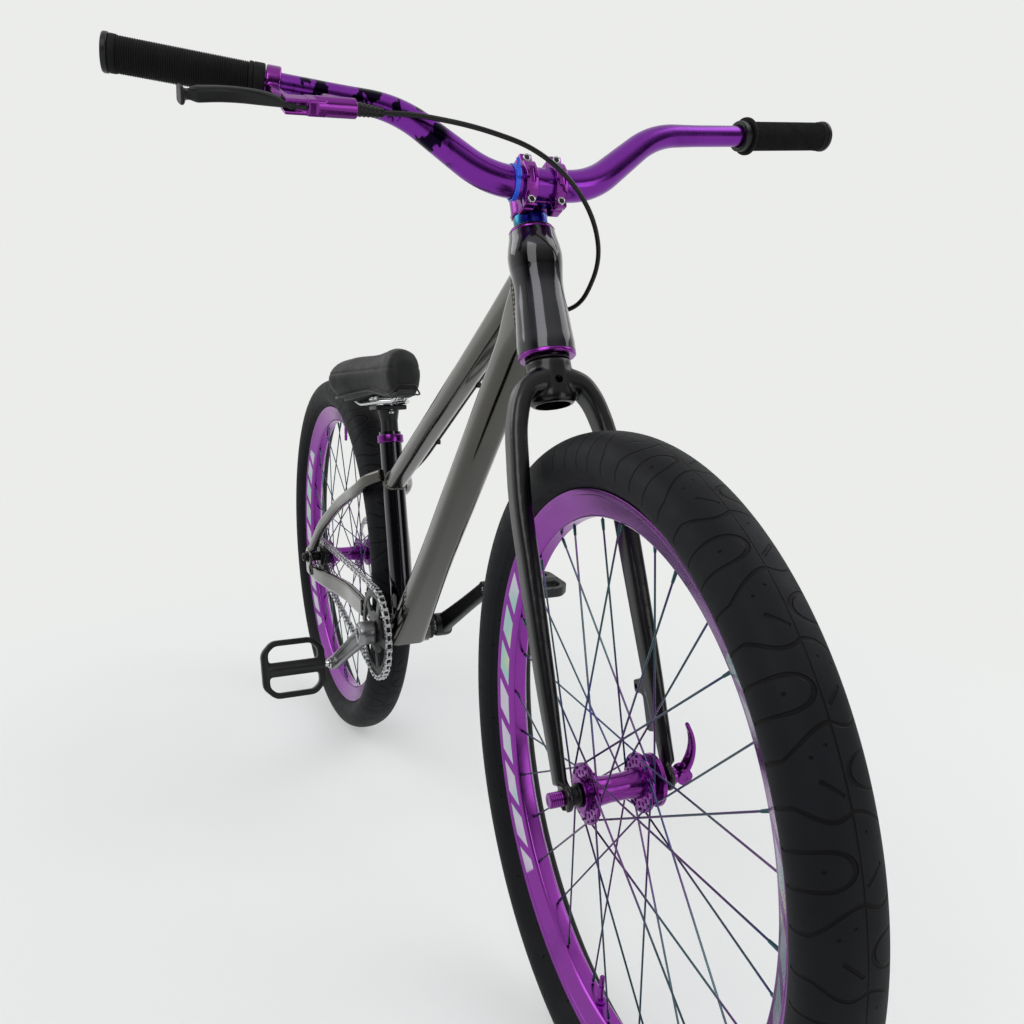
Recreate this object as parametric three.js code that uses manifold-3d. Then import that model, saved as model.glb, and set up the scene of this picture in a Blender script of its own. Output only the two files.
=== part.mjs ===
// A 26 inch dirt jump bicycle with one gear, a rigid fork and a rear disc brake.
// Millimetres, +X forward, +Y to the rider's left, +Z up. The origin lies on the ground,
// midway between the wheels. The front end is turned by steerAtRest, as the bicycle stands.
import * as THREE from "three";
import { mergeVertices } from "three/addons/utils/BufferGeometryUtils.js";
import Module from "manifold-3d";

const wasm = await Module();
wasm.setup();

// Gaps and facets shared by every piece
const seam = 0.3; // gap between two pieces that touch
const overrun = 5; // how far a cutting solid runs past what it cuts
const weld = 0.0005; // vertices closer than this are one
const wheelFacets = 32;
const roundFacets = 12;
const smallFacets = 8;
const boltFacets = 6;
const spokeFacets = 3;
const bendSteps = 3;
const edgeShare = 0.33; // rounding of a flat piece's edges, as a share of its thickness
const cornerSteps = 1;

// Stance and steering
const wheelbase = 1054;
const headAngle = 71.2;
const forkOffset = 41;
const axleToCrown = 430.6;
const steerAtRest = -3.5;
const tyreRadius = 339.6;
const tyreHalfWidth = 34;

// Chain drive: it sets how far the cranks stand ahead of the rear axle
const chainPitch = 12.7;
const chainringTeeth = 36;
const cogTeeth = 16;
const chainRunLinks = 30; // links of each straight run between the sprockets
const chainLine = 47.5;
const bracketDrop = 42;
const rollerLength = 6.4;
const rollerHeight = 7.2;
const plateHeight = 8.4;
const innerPlateReach = 2.1; // from the chain's mid plane to a plate's inner face
const innerLinkReach = 3.3;
const outerLinkReach = 4.3;
const toothThickness = 2.6;
const toothBaseWidth = 4;
const toothTipWidth = 1.8;
const toothHeightOverPitch = 3.4;
const rootClearance = 0.5;

// Tyres and rims
const tyreHeight = 54;
const treadHalfWidth = 7;
const tyreWall = 3.6;
const tyreFlankShare = 0.72; // breadth of the shoulder, as a share of the half width
const tyreShoulderShare = 0.84; // height of the shoulder over the widest place, as a share
const rimLipRadius = 286;
const rimLipHalfWidth = 18.8;
const rimLipThickness = 1.7;
const rimSeatRadius = 279.5;
const rimWellRadius = 275.5;
const rimWellHalfWidth = 10;
const rimBedRadius = 259;
const rimBedHalfWidth = 10.5;
const rimShoulderRadius = 269;
const rimShoulderHalfWidth = 17.6;
const valveRadius = 3;
const valveStem = 34;
const frontValveAngle = 264.4;
const rearValveAngle = 84.4;

// Hubs and spokes
const spokesPerFlange = 16;
const spokeRadius = 1;
const nippleRadius = 1.9;
const nippleShare = 0.33; // place of the nipples across the rim's bed, as a share of its half width
const spokeCross = 3; // holes that a spoke sweeps round the hub on its way to the rim
const hubBarrelRadius = 15;
const hubBarrelWaistRadius = 13;
const hubWaistShare = 0.33; // where the waist starts, as a share of the way to a flange
const flangeRadius = 29;
const flangeThickness = 3.4;
const spokeHoleCircle = 26;
const frontFlangeSpread = 33; // hub centre to each front flange
const frontDiscSideShift = 9; // the disc side's flange stands further in
const discFaceRadius = 26;
const discFaceThickness = 4;
const frontLocknut = 50; // half the distance between the front dropouts
const rearLocknut = 67.5;
const axleRadius = 5;
const endCapRadius = 9;
const endCapFlangeRadius = 11.5;
const endCapWidth = 9;
const axleStubRadius = 4.7;
const axleStubEnd = 56;
const rearFlangeSpread = 30;
const rearDiscSideShift = 5;
const hubDriveEnd = 36;
const driverEnd = 52.5;
const driverRadius = 18;
const runningGap = 0.6;

// Rear axle and its nuts
const rearAxleEnd = 84.5;
const nutRadius = 8.5;
const nutWidth = 8;
const washerRadius = 11;
const washerThickness = 1.5;
const dropoutThickness = 6.5;

// Fork
const crownRadius = 24;
const crownHeight = 46;
const crownWallRadius = 19;
const crownHoleRadius = 4;
const crownHoleDrop = 24;
const lowerSteererRadius = 18.4;
const steererRadius = 14.3;
const steererBoreRadius = 11.5;
const steererTaperStart = 12;
const steererTaperEnd = 70;
const crownRaceHeight = 2.6;
const steererShort = 2; // the steerer ends this far below the stem's top
const crownRaceRadius = 23.5;
const bladeCorner = 6;
const bladeTopForward = 6;
// Fork legs from the top: rise over the axle, spread, width and depth
const bladePath = [
  [418, 19, 17, 27],
  [388, 37, 17, 27],
  [365, 45, 17, 27],
  [284, 55, 17, 27],
  [223, 56, 17, 27],
  [88, 57, 15, 24],
  [12, 57.5, 12, 19],
];
const forkDropoutThickness = 7;
const forkDropoutRadius = 14;
const forkSlotRadius = 5;
const brakeTabWidth = 9;
const brakeTabHeight = 15;
const brakeTabRise = 88;
const brakeTabReach = 28;
const brakeTabForward = 14;
const brakeTabSpread = 55;
const brakeTabHole = 3;

// Front quick release
const skewerRadius = 2.5;
const skewerNutRadius = 7.5;
const skewerNutWidth = 14;
const camHeadWidth = 5;
const camRadius = 8.5;
const camTongue = 5;
const camSlotLength = 34;
const camSlotHeight = 25.5;
const camPinRadius = 2;
const camBarrelLength = 16;
const camHandleLength = 62;
const camHandleWidth = 13;
const camHandleThickness = 5;
const camHandleRise = 8;
const camHandleAngle = 12; // from straight up towards the front

// Head tube and headset
const headTubeLength = 134.4;
const lowerStack = 8;
const headBottomRadius = 30.4;
const headWaistRadius = 23.5;
const headBulgeRadius = 27;
const headBoreRadius = 21;
const headBottomLand = 9;
const headWaistRise = 63;
const headBulgeRise = 97;
const headBulgeLand = 9;
const headTopRise = 116;
const cupSleeve = 12;
const upperCupHeight = 2.6;
const coverHeight = 5;
const coverRadius = 20;
const spacerRadius = 17.5;

// Stem
const stemReach = 35.6;
const stemRise = 30.7; // head tube top to the handlebar's middle
const stemHeight = 36;
const stemClampRadius = 19.5;
const stemEarDepth = 14;
const faceplateWidth = 13;
const faceplateSpread = 16;
const faceplateWall = 6;
const faceplateEarHeight = 11;
const faceplateEarDepth = 9;
const boltRise = 21.3;
const boltHeadRadius = 4.2;
const boltHeadHeight = 3;
const topCapHeight = 4.5;

// Handlebar and grips
const barClampDiameter = 31.8;
const barEndDiameter = 22.2;
const barHalfWidth = 388;
const barClampHalf = 36;
const barLowBend = 54;
const barHighBend = 139;
const barRise = 65;
const barEndRise = 101.5;
const barEndSetback = 22.4;
const barTaperEnd = 205;
const barBendLength = 26;
const gripRadius = 15.6;
const gripLength = 122;
const gripEndThickness = 3;
const gripEndRadius = 16.8;
const gripFlangeRadius = 20;
const gripFlangeWidth = 4;
const gripCollarWidth = 10;
const gripCollarRadius = 16.2;

// Brake lever
const leverClampAt = 248.5; // along the bar's half width
const leverClampWidth = 13;
const leverClampRadius = 16;
const leverTilt = 50; // lever below straight ahead of the bar, in degrees
const leverPivotReach = 44; // from the bar's middle to the pivot
const leverPivotIn = 16.5; // the pivot stands this far inside the clamp
const leverNeckRadius = 6.5;
const cylinderLean = 20; // the cylinder runs in towards the bar, in degrees
const cylinderRadius = 9;
const cylinderStart = 24; // from the pivot
const cylinderLength = 36;
const bootLean = 6.5;
const bootLength = 26;
const bootRadius = 6.5;
const bootTipRadius = 4;
const leverEarWidth = 3;
const leverEarTail = 6;
const leverBladeWidth = 11;
const leverBladeThickness = 6;
const leverPinRadius = 2;
// The blade's run from its pivot: away from the bar and outwards
const bladeCurve = [
  [0, 0],
  [-3, -22],
  [-1, -44],
  [10, -68],
  [25, -90],
];
const tieAt = 32.5;

// Frame tubes
const downTubeJoin = 67; // up the head tube from its lower end
const downTubeOffset = 12;
const downTubeWidth = 46;
const downTubeDepth = 37;
const downTubeFootWidth = 62;
const downTubeAngle = 47.5;
const downTubeThroatDepth = 70;
const downTubeThroatLength = 78;
const downTubeFootShare = 0.33; // length of the tube over which its foot narrows, as a share
const downTubeCorner = 8;
const topTubeJoin = 92;
const topTubeWidth = 32;
const topTubeDepth = 27;
const topTubeFrontDepth = 34;
const topTubeCorner = 7;
const seatTubeAngle = 77.9;
const seatTubeLength = 316;
const seatTubeRadius = 18.5;
const seatTubeTopRadius = 17.4;
const seatPostRadius = 13.6;
const topTubeRise = 233; // up the seat tube from the bottom bracket
const stayRise = 248;
const seatCollarRadius = 20.5;
const seatCollarHeight = 12;
const bracketShellRadius = 24;
const bracketShellWidth = 73;
const bracketBoreRadius = 19;
const bracketCupWidth = 8.5;
const bracketCupSleeve = 8;
const bracketCupRadius = 21;

// Stays
const stayCorner = 3;
const stayWidth = 13;
const stayRearWidth = 12;
const chainstayDepth = 34;
const chainstayRearDepth = 26;
const chainstayDrop = 24.5;
const chainstayRearDrop = 28.5;
const chainstaySpread = 43.5;
const chainstayRearSpread = 64;
const chainstayTail = 12;
const chainstayKink = 190;
const chainstayEnd = 296;
const yokeShift = 4;
const yokeThickness = 6;
const yokeDepth = 26;
const yokeBend = 322;
const yokeFall = 8;
const yokeEndSpread = 29;
const seatstayDepth = 20;
const seatstayEndSpread = 18;
// Seatstay from the rear axle: forward, sideways, up
const seatstayPath = [
  [0, 67, 7],
  [60, 59, 70],
  [150, 48, 125],
  [265, 43, 170],
];
const dropoutRadius = 19;

// Cranks
const crankLength = 171.5;
const crankAngle = 213.3; // of the right arm, from straight ahead towards up
const spindleRadius = 12;
const crankArmThickness = 14;
const crankArmWidth = 30;
const crankArmTipWidth = 24;
const crankBossRadius = 19;
const crankBossInner = 49.4;
const crankBossOuter = 77;
const crankEnd = 100;
const crankBossSpread = 65;
const crankTipSpread = 81;
const crankPocketDepth = 3;
const crankPocketEdge = 5;
const chainringWindows = 5;
const chainringWindowInner = 34;
const chainringWindowOuter = 56;
const chainringArmWidth = 14;

// Pedals
const pedalInner = 98;
const rightPedalTurn = 75; // as the bicycle stands, in degrees
const leftPedalTurn = 4;
const pedalLength = 98;
const pedalWidth = 105;
const pedalThickness = 15;
const pedalRail = 11;
const pedalSpineRadius = 10;
const pedalAxleRadius = 5;
const pedalStubRadius = 7;
const pedalWasherRadius = 9;
const pedalWasherWidth = 3;

// Seatpost and saddle
const seatPostInsertion = 110;
const seatPostShown = 36;
const seatCollarEar = 12;
const seatCollarFit = 0.6;
const cradleLength = 44;
const cradleHeight = 8;
const clampLidHeight = 6;
const clampBoltRadius = 3;
const clampBoltSpread = 18;
const clampBoltReach = 40;
const railSpread = 22;
const railRadius = 3.5;
const railBendLength = 10;
// One half of the rail wire in the saddle's frame, from its rear end to the nose
const railPath = [
  [-106, 26, 10.2],
  [-80, 22, 0],
  [38, 22, 0],
  [64, 8, 0],
  [80, 8, 10.2],
];
const saddleWidth = 148;
const saddleHeight = 70;
const saddleTilt = 6; // nose up, in degrees
const saddleBaseTop = 20;
const saddleBaseThickness = 6;
const saddleFootShare = 0.62; // breadth of the cover's underside, as a share of its half width
const saddleSkirt = 5;
// Cover stations along the saddle: place, half width, underside, top
const saddleStations = [
  [-132, 34, 26, 58],
  [-122, 58, 14, 70],
  [-106, 72, 8, 77],
  [-72, 68, 9, 78],
  [-30, 52, 13, 76],
  [10, 41, 14, 75],
  [50, 34, 8, 77],
  [84, 31, 5, 78],
  [97, 26, 8, 73],
  [103, 16, 18, 60],
];
// Cover section from the underside up to the crown: shares of its half width and height
const coverProfile = [
  [0.62, 0],
  [0.86, 0.18],
  [1, 0.44],
  [0.93, 0.68],
  [0.69, 0.88],
  [0.36, 0.97],
  [0, 1],
];

// Rear brake
const rotorRadius = 70;
const rotorThickness = 2;
const rotorSpread = 45;
const rotorBandWidth = 14;
const rotorArms = 5;
const rotorArmWidth = 7;
const caliperAngle = 20;
const caliperAt = 67;
const caliperLength = 44;
const caliperHeight = 34;
const caliperInner = 33;
const caliperOuter = 53.3;
const caliperTabLength = 30;
const caliperTabThickness = 6.5;
const caliperTabHeight = 48;
const caliperTabForward = 64;
const caliperTabRise = 38;
const padLength = 26;
const padHeight = 16;
const padThickness = 2.6;
const padGap = 0.6;

// Brake hose and tie
const hoseRadius = 2.5;
const hoseFacets = 5;
const hoseBend = 24;
const hoseSteps = 2;
const tieWidth = 5;
const tieThickness = 1.6;
// Hose corners in the front end's frame, up from the bar, then from the rear axle
const hoseFront = [
  [47.35, -156.2, 51.6],
  [53, -128, 50],
  [66, -75, 37],
  [75, -20, 16],
  [72, 18, -12],
  [52, 48, -42],
  [18, 66, -72],
  [-22, 54, -108],
];
const hoseRear = [
  [796, 32, 446],
  [700, 22, 400],
  [420, 22, 238],
  [350, 28, 212],
  [265, 44, 186],
  [150, 50, 143],
  [128, 36, 130],
  [116, 36, 70],
  [100, 37, 37],
  [79.6, 37, 29],
];

const degree = Math.PI / 180;
const across = new THREE.Vector3(0, 1, 0);

// Colours and finishes
function finish(color, roughness, metalness) {
  return new THREE.MeshStandardMaterial({ color, roughness, metalness });
}
const purple = finish(0x8a2fb8, 0.25, 0.9);
const rawMetal = finish(0x6f6d66, 0.32, 0.85);
const smokedMetal = finish(0x35363a, 0.25, 0.8);
const blackGloss = finish(0x111318, 0.2, 0.3);
const blackMetal = finish(0x1a1b1e, 0.4, 0.7);
const silver = finish(0xc3c5c8, 0.25, 0.95);
const tyreRubber = finish(0x1a1c20, 0.85, 0);
const gripRubber = finish(0x1c1d20, 0.9, 0);
const oilSlick = finish(0x3f8f98, 0.2, 0.9);
const saddleSkin = finish(0x25272c, 0.6, 0);
const hoseSkin = finish(0x101013, 0.5, 0);
const tiePlastic = finish(0x1f62d6, 0.4, 0);

// Solids from geometry and back
function solidOf(geometry) {
  const bare = geometry.index ? geometry.toNonIndexed() : geometry.clone();
  bare.deleteAttribute("normal");
  bare.deleteAttribute("uv");
  const merged = mergeVertices(bare, weld);
  const kept = [];
  const index = merged.index.array;
  for (let i = 0; i < index.length; i += 3) {
    const [a, b, c] = [index[i], index[i + 1], index[i + 2]];
    if (a !== b && b !== c && c !== a) kept.push(a, b, c);
  }
  const mesh = new wasm.Mesh({
    numProp: 3,
    vertProperties: merged.attributes.position.array,
    triVerts: new Uint32Array(kept),
  });
  return new wasm.Manifold(mesh);
}

function geometryOf(solid) {
  const mesh = solid.getMesh();
  const geometry = new THREE.BufferGeometry();
  geometry.setAttribute("position", new THREE.BufferAttribute(mesh.vertProperties, 3));
  geometry.setIndex(new THREE.BufferAttribute(mesh.triVerts, 1));
  geometry.computeVertexNormals();
  return geometry;
}

function join(...parts) {
  return geometryOf(parts.map(solidOf).reduce((sum, part) => sum.add(part)));
}

// Cuts the tools out of a body and keeps its largest piece, so no sliver stays beside it.
function cut(body, ...tools) {
  const rest = tools.map(solidOf).reduce((sum, tool) => sum.subtract(tool), solidOf(body));
  return geometryOf(rest.decompose().reduce((a, b) => (b.volume() > a.volume() ? b : a)));
}

function common(a, b) {
  return geometryOf(solidOf(a).intersect(solidOf(b)));
}

// Basic shapes
function vector(x, y, z) {
  return new THREE.Vector3(x, y, z);
}

// A solid turned about Y from points of [radius, height], from axis to axis or closed.
function turned(points, facets = roundFacets) {
  const profile = points.map(([radius, height]) => new THREE.Vector2(radius, height));
  return new THREE.LatheGeometry(profile, facets);
}

// The same about Z.
function turnedUp(points, facets = roundFacets) {
  return turned(points, facets).rotateX(Math.PI / 2);
}

// A ring or sleeve about Y between two heights.
function sleeve(inner, outer, from, to, facets = roundFacets) {
  return turned([[inner, from], [outer, from], [outer, to], [inner, to], [inner, from]], facets);
}

function sleeveUp(inner, outer, from, to, facets = roundFacets) {
  return sleeve(inner, outer, from, to, facets).rotateX(Math.PI / 2);
}

function disc(radius, from, to, facets = roundFacets) {
  return turned([[0, from], [radius, from], [radius, to], [0, to]], facets);
}

function discUp(radius, from, to, facets = roundFacets) {
  return disc(radius, from, to, facets).rotateX(Math.PI / 2);
}

// A rod between two points, round or with few sides, that may taper.
function rod(from, to, radius, facets = smallFacets, endRadius = radius) {
  const along = to.clone().sub(from);
  const geometry = new THREE.CylinderGeometry(endRadius, radius, along.length(), facets);
  geometry.applyQuaternion(new THREE.Quaternion().setFromUnitVectors(across, along.clone().normalize()));
  const middle = from.clone().lerp(to, 1 / 2);
  return geometry.translate(middle.x, middle.y, middle.z);
}

function block(sizeX, sizeY, sizeZ, x = 0, y = 0, z = 0) {
  return new THREE.BoxGeometry(sizeX, sizeY, sizeZ).translate(x, y, z);
}

// A plate in the XZ plane from an outline of [x, z], between two places across the bicycle.
function plate(outline, fromY, toY) {
  const shape = new THREE.Shape(outline.map(([x, z]) => new THREE.Vector2(x, z)));
  const geometry = new THREE.ExtrudeGeometry(shape, { depth: toY - fromY, bevelEnabled: false });
  return geometry.rotateX(Math.PI / 2).translate(0, toY, 0);
}

// Points round an arc in a plane, from one angle to another in degrees.
function arc(x, z, radius, fromAngle, toAngle, steps) {
  return Array.from({ length: steps + 1 }, (_, i) => {
    const angle = (fromAngle + ((toAngle - fromAngle) * i) / steps) * degree;
    return [x + radius * Math.cos(angle), z + radius * Math.sin(angle)];
  });
}

// Cross sections, counterclockwise
function roundedBox(width, depth, corner) {
  const [halfWidth, halfDepth] = [width / 2, depth / 2];
  const reach = Math.min(corner, halfWidth, halfDepth);
  const [x, z] = [halfWidth - reach, halfDepth - reach];
  return [
    ...arc(x, z, reach, 0, 90, cornerSteps),
    ...arc(-x, z, reach, 90, 180, cornerSteps),
    ...arc(-x, -z, reach, 180, 270, cornerSteps),
    ...arc(x, -z, reach, 270, 360, cornerSteps),
  ];
}

// The radius of a bore that clears a rod of this radius, whatever way their facets lie.
function boreFor(radius, gap = seam) {
  return radius / Math.cos(Math.PI / roundFacets) + gap;
}

function circle(radius, facets = smallFacets) {
  return arc(0, 0, radius, 0, 360, facets).slice(0, facets);
}

// A skin over rings of points that have the same count, closed by a fan at each end.
function loft(rings) {
  const positions = [];
  const push = (...points) => points.forEach((point) => positions.push(point.x, point.y, point.z));
  const count = rings[0].length;
  for (let i = 0; i + 1 < rings.length; i += 1) {
    for (let j = 0; j < count; j += 1) {
      const next = (j + 1) % count;
      push(rings[i][j], rings[i][next], rings[i + 1][next]);
      push(rings[i][j], rings[i + 1][next], rings[i + 1][j]);
    }
  }
  const [first, last] = [rings[0], rings[rings.length - 1]];
  for (let j = 1; j + 1 < count; j += 1) {
    push(first[0], first[j + 1], first[j]);
    push(last[0], last[j], last[j + 1]);
  }
  const geometry = new THREE.BufferGeometry();
  return geometry.setAttribute("position", new THREE.Float32BufferAttribute(positions, 3));
}

// A ring of points round a place: the section's first axis is side, its second is travel x side.
function ringAt(section, place, travel, side) {
  const flatSide = side.clone().addScaledVector(travel, -side.dot(travel)).normalize();
  const up = travel.clone().cross(flatSide);
  return section.map(([a, b]) => place.clone().addScaledVector(flatSide, a).addScaledVector(up, b));
}

// A tube through stations of { at, section }, with the section's width held towards side.
function tubeThrough(stations, side = across) {
  const rings = stations.map((station, i) => {
    const before = stations[Math.max(i - 1, 0)].at;
    const after = stations[Math.min(i + 1, stations.length - 1)].at;
    const travel = station.travel ?? after.clone().sub(before).normalize();
    return ringAt(station.section, station.at, travel, side);
  });
  return loft(rings);
}

// Places along straight runs joined by bends, each bend starting bendLength from its corner.
function bentPath(corners, bendLength, steps = bendSteps) {
  const places = [corners[0]];
  for (let i = 1; i + 1 < corners.length; i += 1) {
    const [back, here, ahead] = [corners[i - 1], corners[i], corners[i + 1]];
    const towardsBack = back.clone().sub(here);
    const towardsAhead = ahead.clone().sub(here);
    const reach = Math.min(bendLength, towardsBack.length() / 2, towardsAhead.length() / 2);
    const start = here.clone().addScaledVector(towardsBack.normalize(), reach);
    const end = here.clone().addScaledVector(towardsAhead.normalize(), reach);
    places.push(...new THREE.QuadraticBezierCurve3(start, here, end).getPoints(steps));
  }
  places.push(corners[corners.length - 1]);
  return places;
}

// Places in the frame that several pieces share
const axleHeight = tyreRadius * Math.cos(Math.PI / wheelFacets);
const rearAxle = vector(-wheelbase / 2, 0, axleHeight);
const frontAxle = vector(wheelbase / 2, 0, axleHeight);
const chainringRadius = chainPitch / 2 / Math.sin(Math.PI / chainringTeeth);
const cogRadius = chainPitch / 2 / Math.sin(Math.PI / cogTeeth);
const chainRun = chainRunLinks * chainPitch;
const chainstayLength = Math.sqrt(chainRun ** 2 - (chainringRadius - cogRadius) ** 2);
const bracket = rearAxle.clone().add(
  vector(Math.sqrt(chainstayLength ** 2 - bracketDrop ** 2), 0, -bracketDrop),
);
const seatUp = vector(-Math.cos(seatTubeAngle * degree), 0, Math.sin(seatTubeAngle * degree));
const seatForward = vector(seatUp.z, 0, -seatUp.x);

// The steering axis: steerUp runs up the head tube, steerForward square to it.
const steerUp = vector(-Math.cos(headAngle * degree), 0, Math.sin(headAngle * degree));
const steerForward = vector(steerUp.z, 0, -steerUp.x);
const steerFoot = frontAxle.clone().addScaledVector(steerForward, -forkOffset);
const crownTop = Math.sqrt(axleToCrown ** 2 - forkOffset ** 2);
const headBottom = crownTop + lowerStack;
const headTop = headBottom + headTubeLength;
const barHeight = headTop + stemRise;

function onSteerAxis(rise) {
  return steerFoot.clone().addScaledVector(steerUp, rise);
}

function onSeatTube(rise) {
  return bracket.clone().addScaledVector(seatUp, rise);
}

// Groups: the head frame stands on the steering axis, the front end turns in it.
const bicycle = new THREE.Group();
const headFrame = new THREE.Group();
headFrame.position.copy(steerFoot);
headFrame.rotation.y = headAngle * degree - Math.PI / 2;
const frontEnd = new THREE.Group();
frontEnd.rotation.z = steerAtRest * degree;
headFrame.add(frontEnd);
bicycle.add(headFrame);

function add(parent, name, geometry, material) {
  const mesh = new THREE.Mesh(geometry, material);
  mesh.name = name;
  parent.add(mesh);
  return mesh;
}

// Moves geometry made in the head frame into the bicycle's frame.
function fromHeadFrame(geometry) {
  const turn = new THREE.Matrix4().makeRotationY(headFrame.rotation.y);
  return geometry.clone().applyMatrix4(turn).translate(steerFoot.x, steerFoot.y, steerFoot.z);
}

const sides = [[-1, "right"], [1, "left"]];

// Mirrors the outline points of one half: [radius, y] to [radius, -y].
function mirrored(points) {
  return points.map(([radius, y]) => [radius, -y]);
}

// Closes a profile that does not reach the axis.
function ringOf(points, facets = roundFacets) {
  return turned([...points, points[0]], facets);
}

// Wheels
// The facets are turned so that one tread facet lies flat on the ground.
const facetTurn = Math.PI / wheelFacets;

function tyre() {
  const crownToCentre = tyreHeight / 2 + tyreWall;
  const centre = tyreRadius - crownToCentre;
  const beadHalf = rimLipHalfWidth - rimLipThickness - seam;
  const beadFoot = rimSeatRadius + seam;
  const outer = [
    [beadFoot, beadHalf],
    [rimLipRadius + seam, beadHalf],
    [rimLipRadius + tyreWall, rimLipHalfWidth],
    [centre, tyreHalfWidth],
    [centre + crownToCentre * tyreShoulderShare, tyreHalfWidth * tyreFlankShare],
    [tyreRadius, treadHalfWidth],
  ];
  const inner = [
    [centre, tyreHalfWidth - tyreWall],
    [rimLipRadius + tyreWall, rimLipHalfWidth - tyreWall],
    [beadFoot, beadHalf - tyreWall],
  ];
  const loop = [
    ...mirrored(outer),
    ...outer.toReversed(),
    ...inner.toReversed(),
    [tyreRadius - tyreWall, 0],
    ...mirrored(inner),
  ];
  return ringOf(loop, wheelFacets).rotateY(facetTurn);
}

function rim(valveAngle) {
  const half = [
    [rimBedRadius, rimBedHalfWidth],
    [rimShoulderRadius, rimShoulderHalfWidth],
    [rimLipRadius, rimLipHalfWidth],
    [rimLipRadius, rimLipHalfWidth - rimLipThickness],
    [rimSeatRadius, rimLipHalfWidth - rimLipThickness],
    [rimWellRadius, rimWellHalfWidth],
  ];
  const band = ringOf([...mirrored(half), ...half.toReversed()], wheelFacets).rotateY(facetTurn);
  const valveOut = vector(Math.cos(valveAngle * degree), 0, Math.sin(valveAngle * degree));
  const stem = rod(
    valveOut.clone().multiplyScalar(rimBedRadius - valveStem),
    valveOut.clone().multiplyScalar(rimBedRadius + valveRadius),
    valveRadius,
    boltFacets,
  );
  return join(band, stem);
}

function spoke(side, flangeAt, index) {
  const step = 360 / spokesPerFlange;
  const lean = index % 2 === 0 ? 1 : -1;
  const shift = side > 0 ? step / 2 : 0;
  const onCircle = (radius, angle, y) =>
    vector(radius * Math.cos(angle * degree), y, radius * Math.sin(angle * degree));
  const foot = onCircle(spokeHoleCircle, index * step + shift, flangeAt + (lean * flangeThickness) / 2);
  const rimAngle = (index + lean * spokeCross) * step + shift;
  const tipRadius = rimBedRadius * Math.cos(facetTurn) - seam;
  const tip = onCircle(tipRadius, rimAngle, side * rimBedHalfWidth * nippleShare);
  return rod(foot, tip, spokeRadius, spokeFacets, nippleRadius);
}

function flange(at) {
  return disc(flangeRadius, at - flangeThickness / 2, at + flangeThickness / 2);
}

// A hub shell with its spokes and, on the left, the face that takes a brake rotor.
function laceHub(rightFlange, leftFlange, leftEnd, rightEnd) {
  const shell = turned([
    [0, -rightEnd],
    [hubBarrelRadius, -rightEnd],
    [hubBarrelRadius, -rightFlange + flangeThickness],
    [hubBarrelWaistRadius, -rightFlange * hubWaistShare],
    [hubBarrelWaistRadius, leftFlange * hubWaistShare],
    [hubBarrelRadius, leftFlange - flangeThickness],
    [hubBarrelRadius, leftEnd - discFaceThickness],
    [discFaceRadius, leftEnd - discFaceThickness],
    [discFaceRadius, leftEnd],
    [0, leftEnd],
  ]);
  const spokes = [];
  for (let i = 0; i < spokesPerFlange; i += 1) {
    spokes.push(spoke(-1, -rightFlange, i), spoke(1, leftFlange, i));
  }
  const whole = join(shell, flange(-rightFlange), flange(leftFlange), ...spokes);
  return cut(whole, disc(axleRadius + runningGap, -rearLocknut, rearLocknut));
}

function addWheel(parent, prefix, hub, valveAngle) {
  add(parent, `${prefix}_tyre`, tyre(), tyreRubber);
  add(parent, `${prefix}_rim`, rim(valveAngle), purple);
  add(parent, `${prefix}_hub`, hub, purple);
}

function addFrontWheel() {
  const wheel = new THREE.Group();
  wheel.position.x = forkOffset;
  wheel.rotation.y = Math.PI / 2 - headAngle * degree;
  frontEnd.add(wheel);
  const hubEnd = frontLocknut - endCapWidth - runningGap;
  const hub = laceHub(frontFlangeSpread, frontFlangeSpread - frontDiscSideShift, hubEnd, hubEnd);
  addWheel(wheel, "front", hub, frontValveAngle);
  const bore = skewerRadius + seam;
  const half = [
    [axleRadius, frontLocknut - endCapWidth],
    [endCapFlangeRadius, frontLocknut - endCapWidth],
    [endCapRadius, frontLocknut],
    [axleStubRadius, frontLocknut],
    [axleStubRadius, axleStubEnd],
    [bore, axleStubEnd],
  ];
  add(wheel, "front_axle", ringOf([...mirrored(half).toReversed(), ...half]), blackMetal);
  addQuickRelease(wheel);
}

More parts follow.
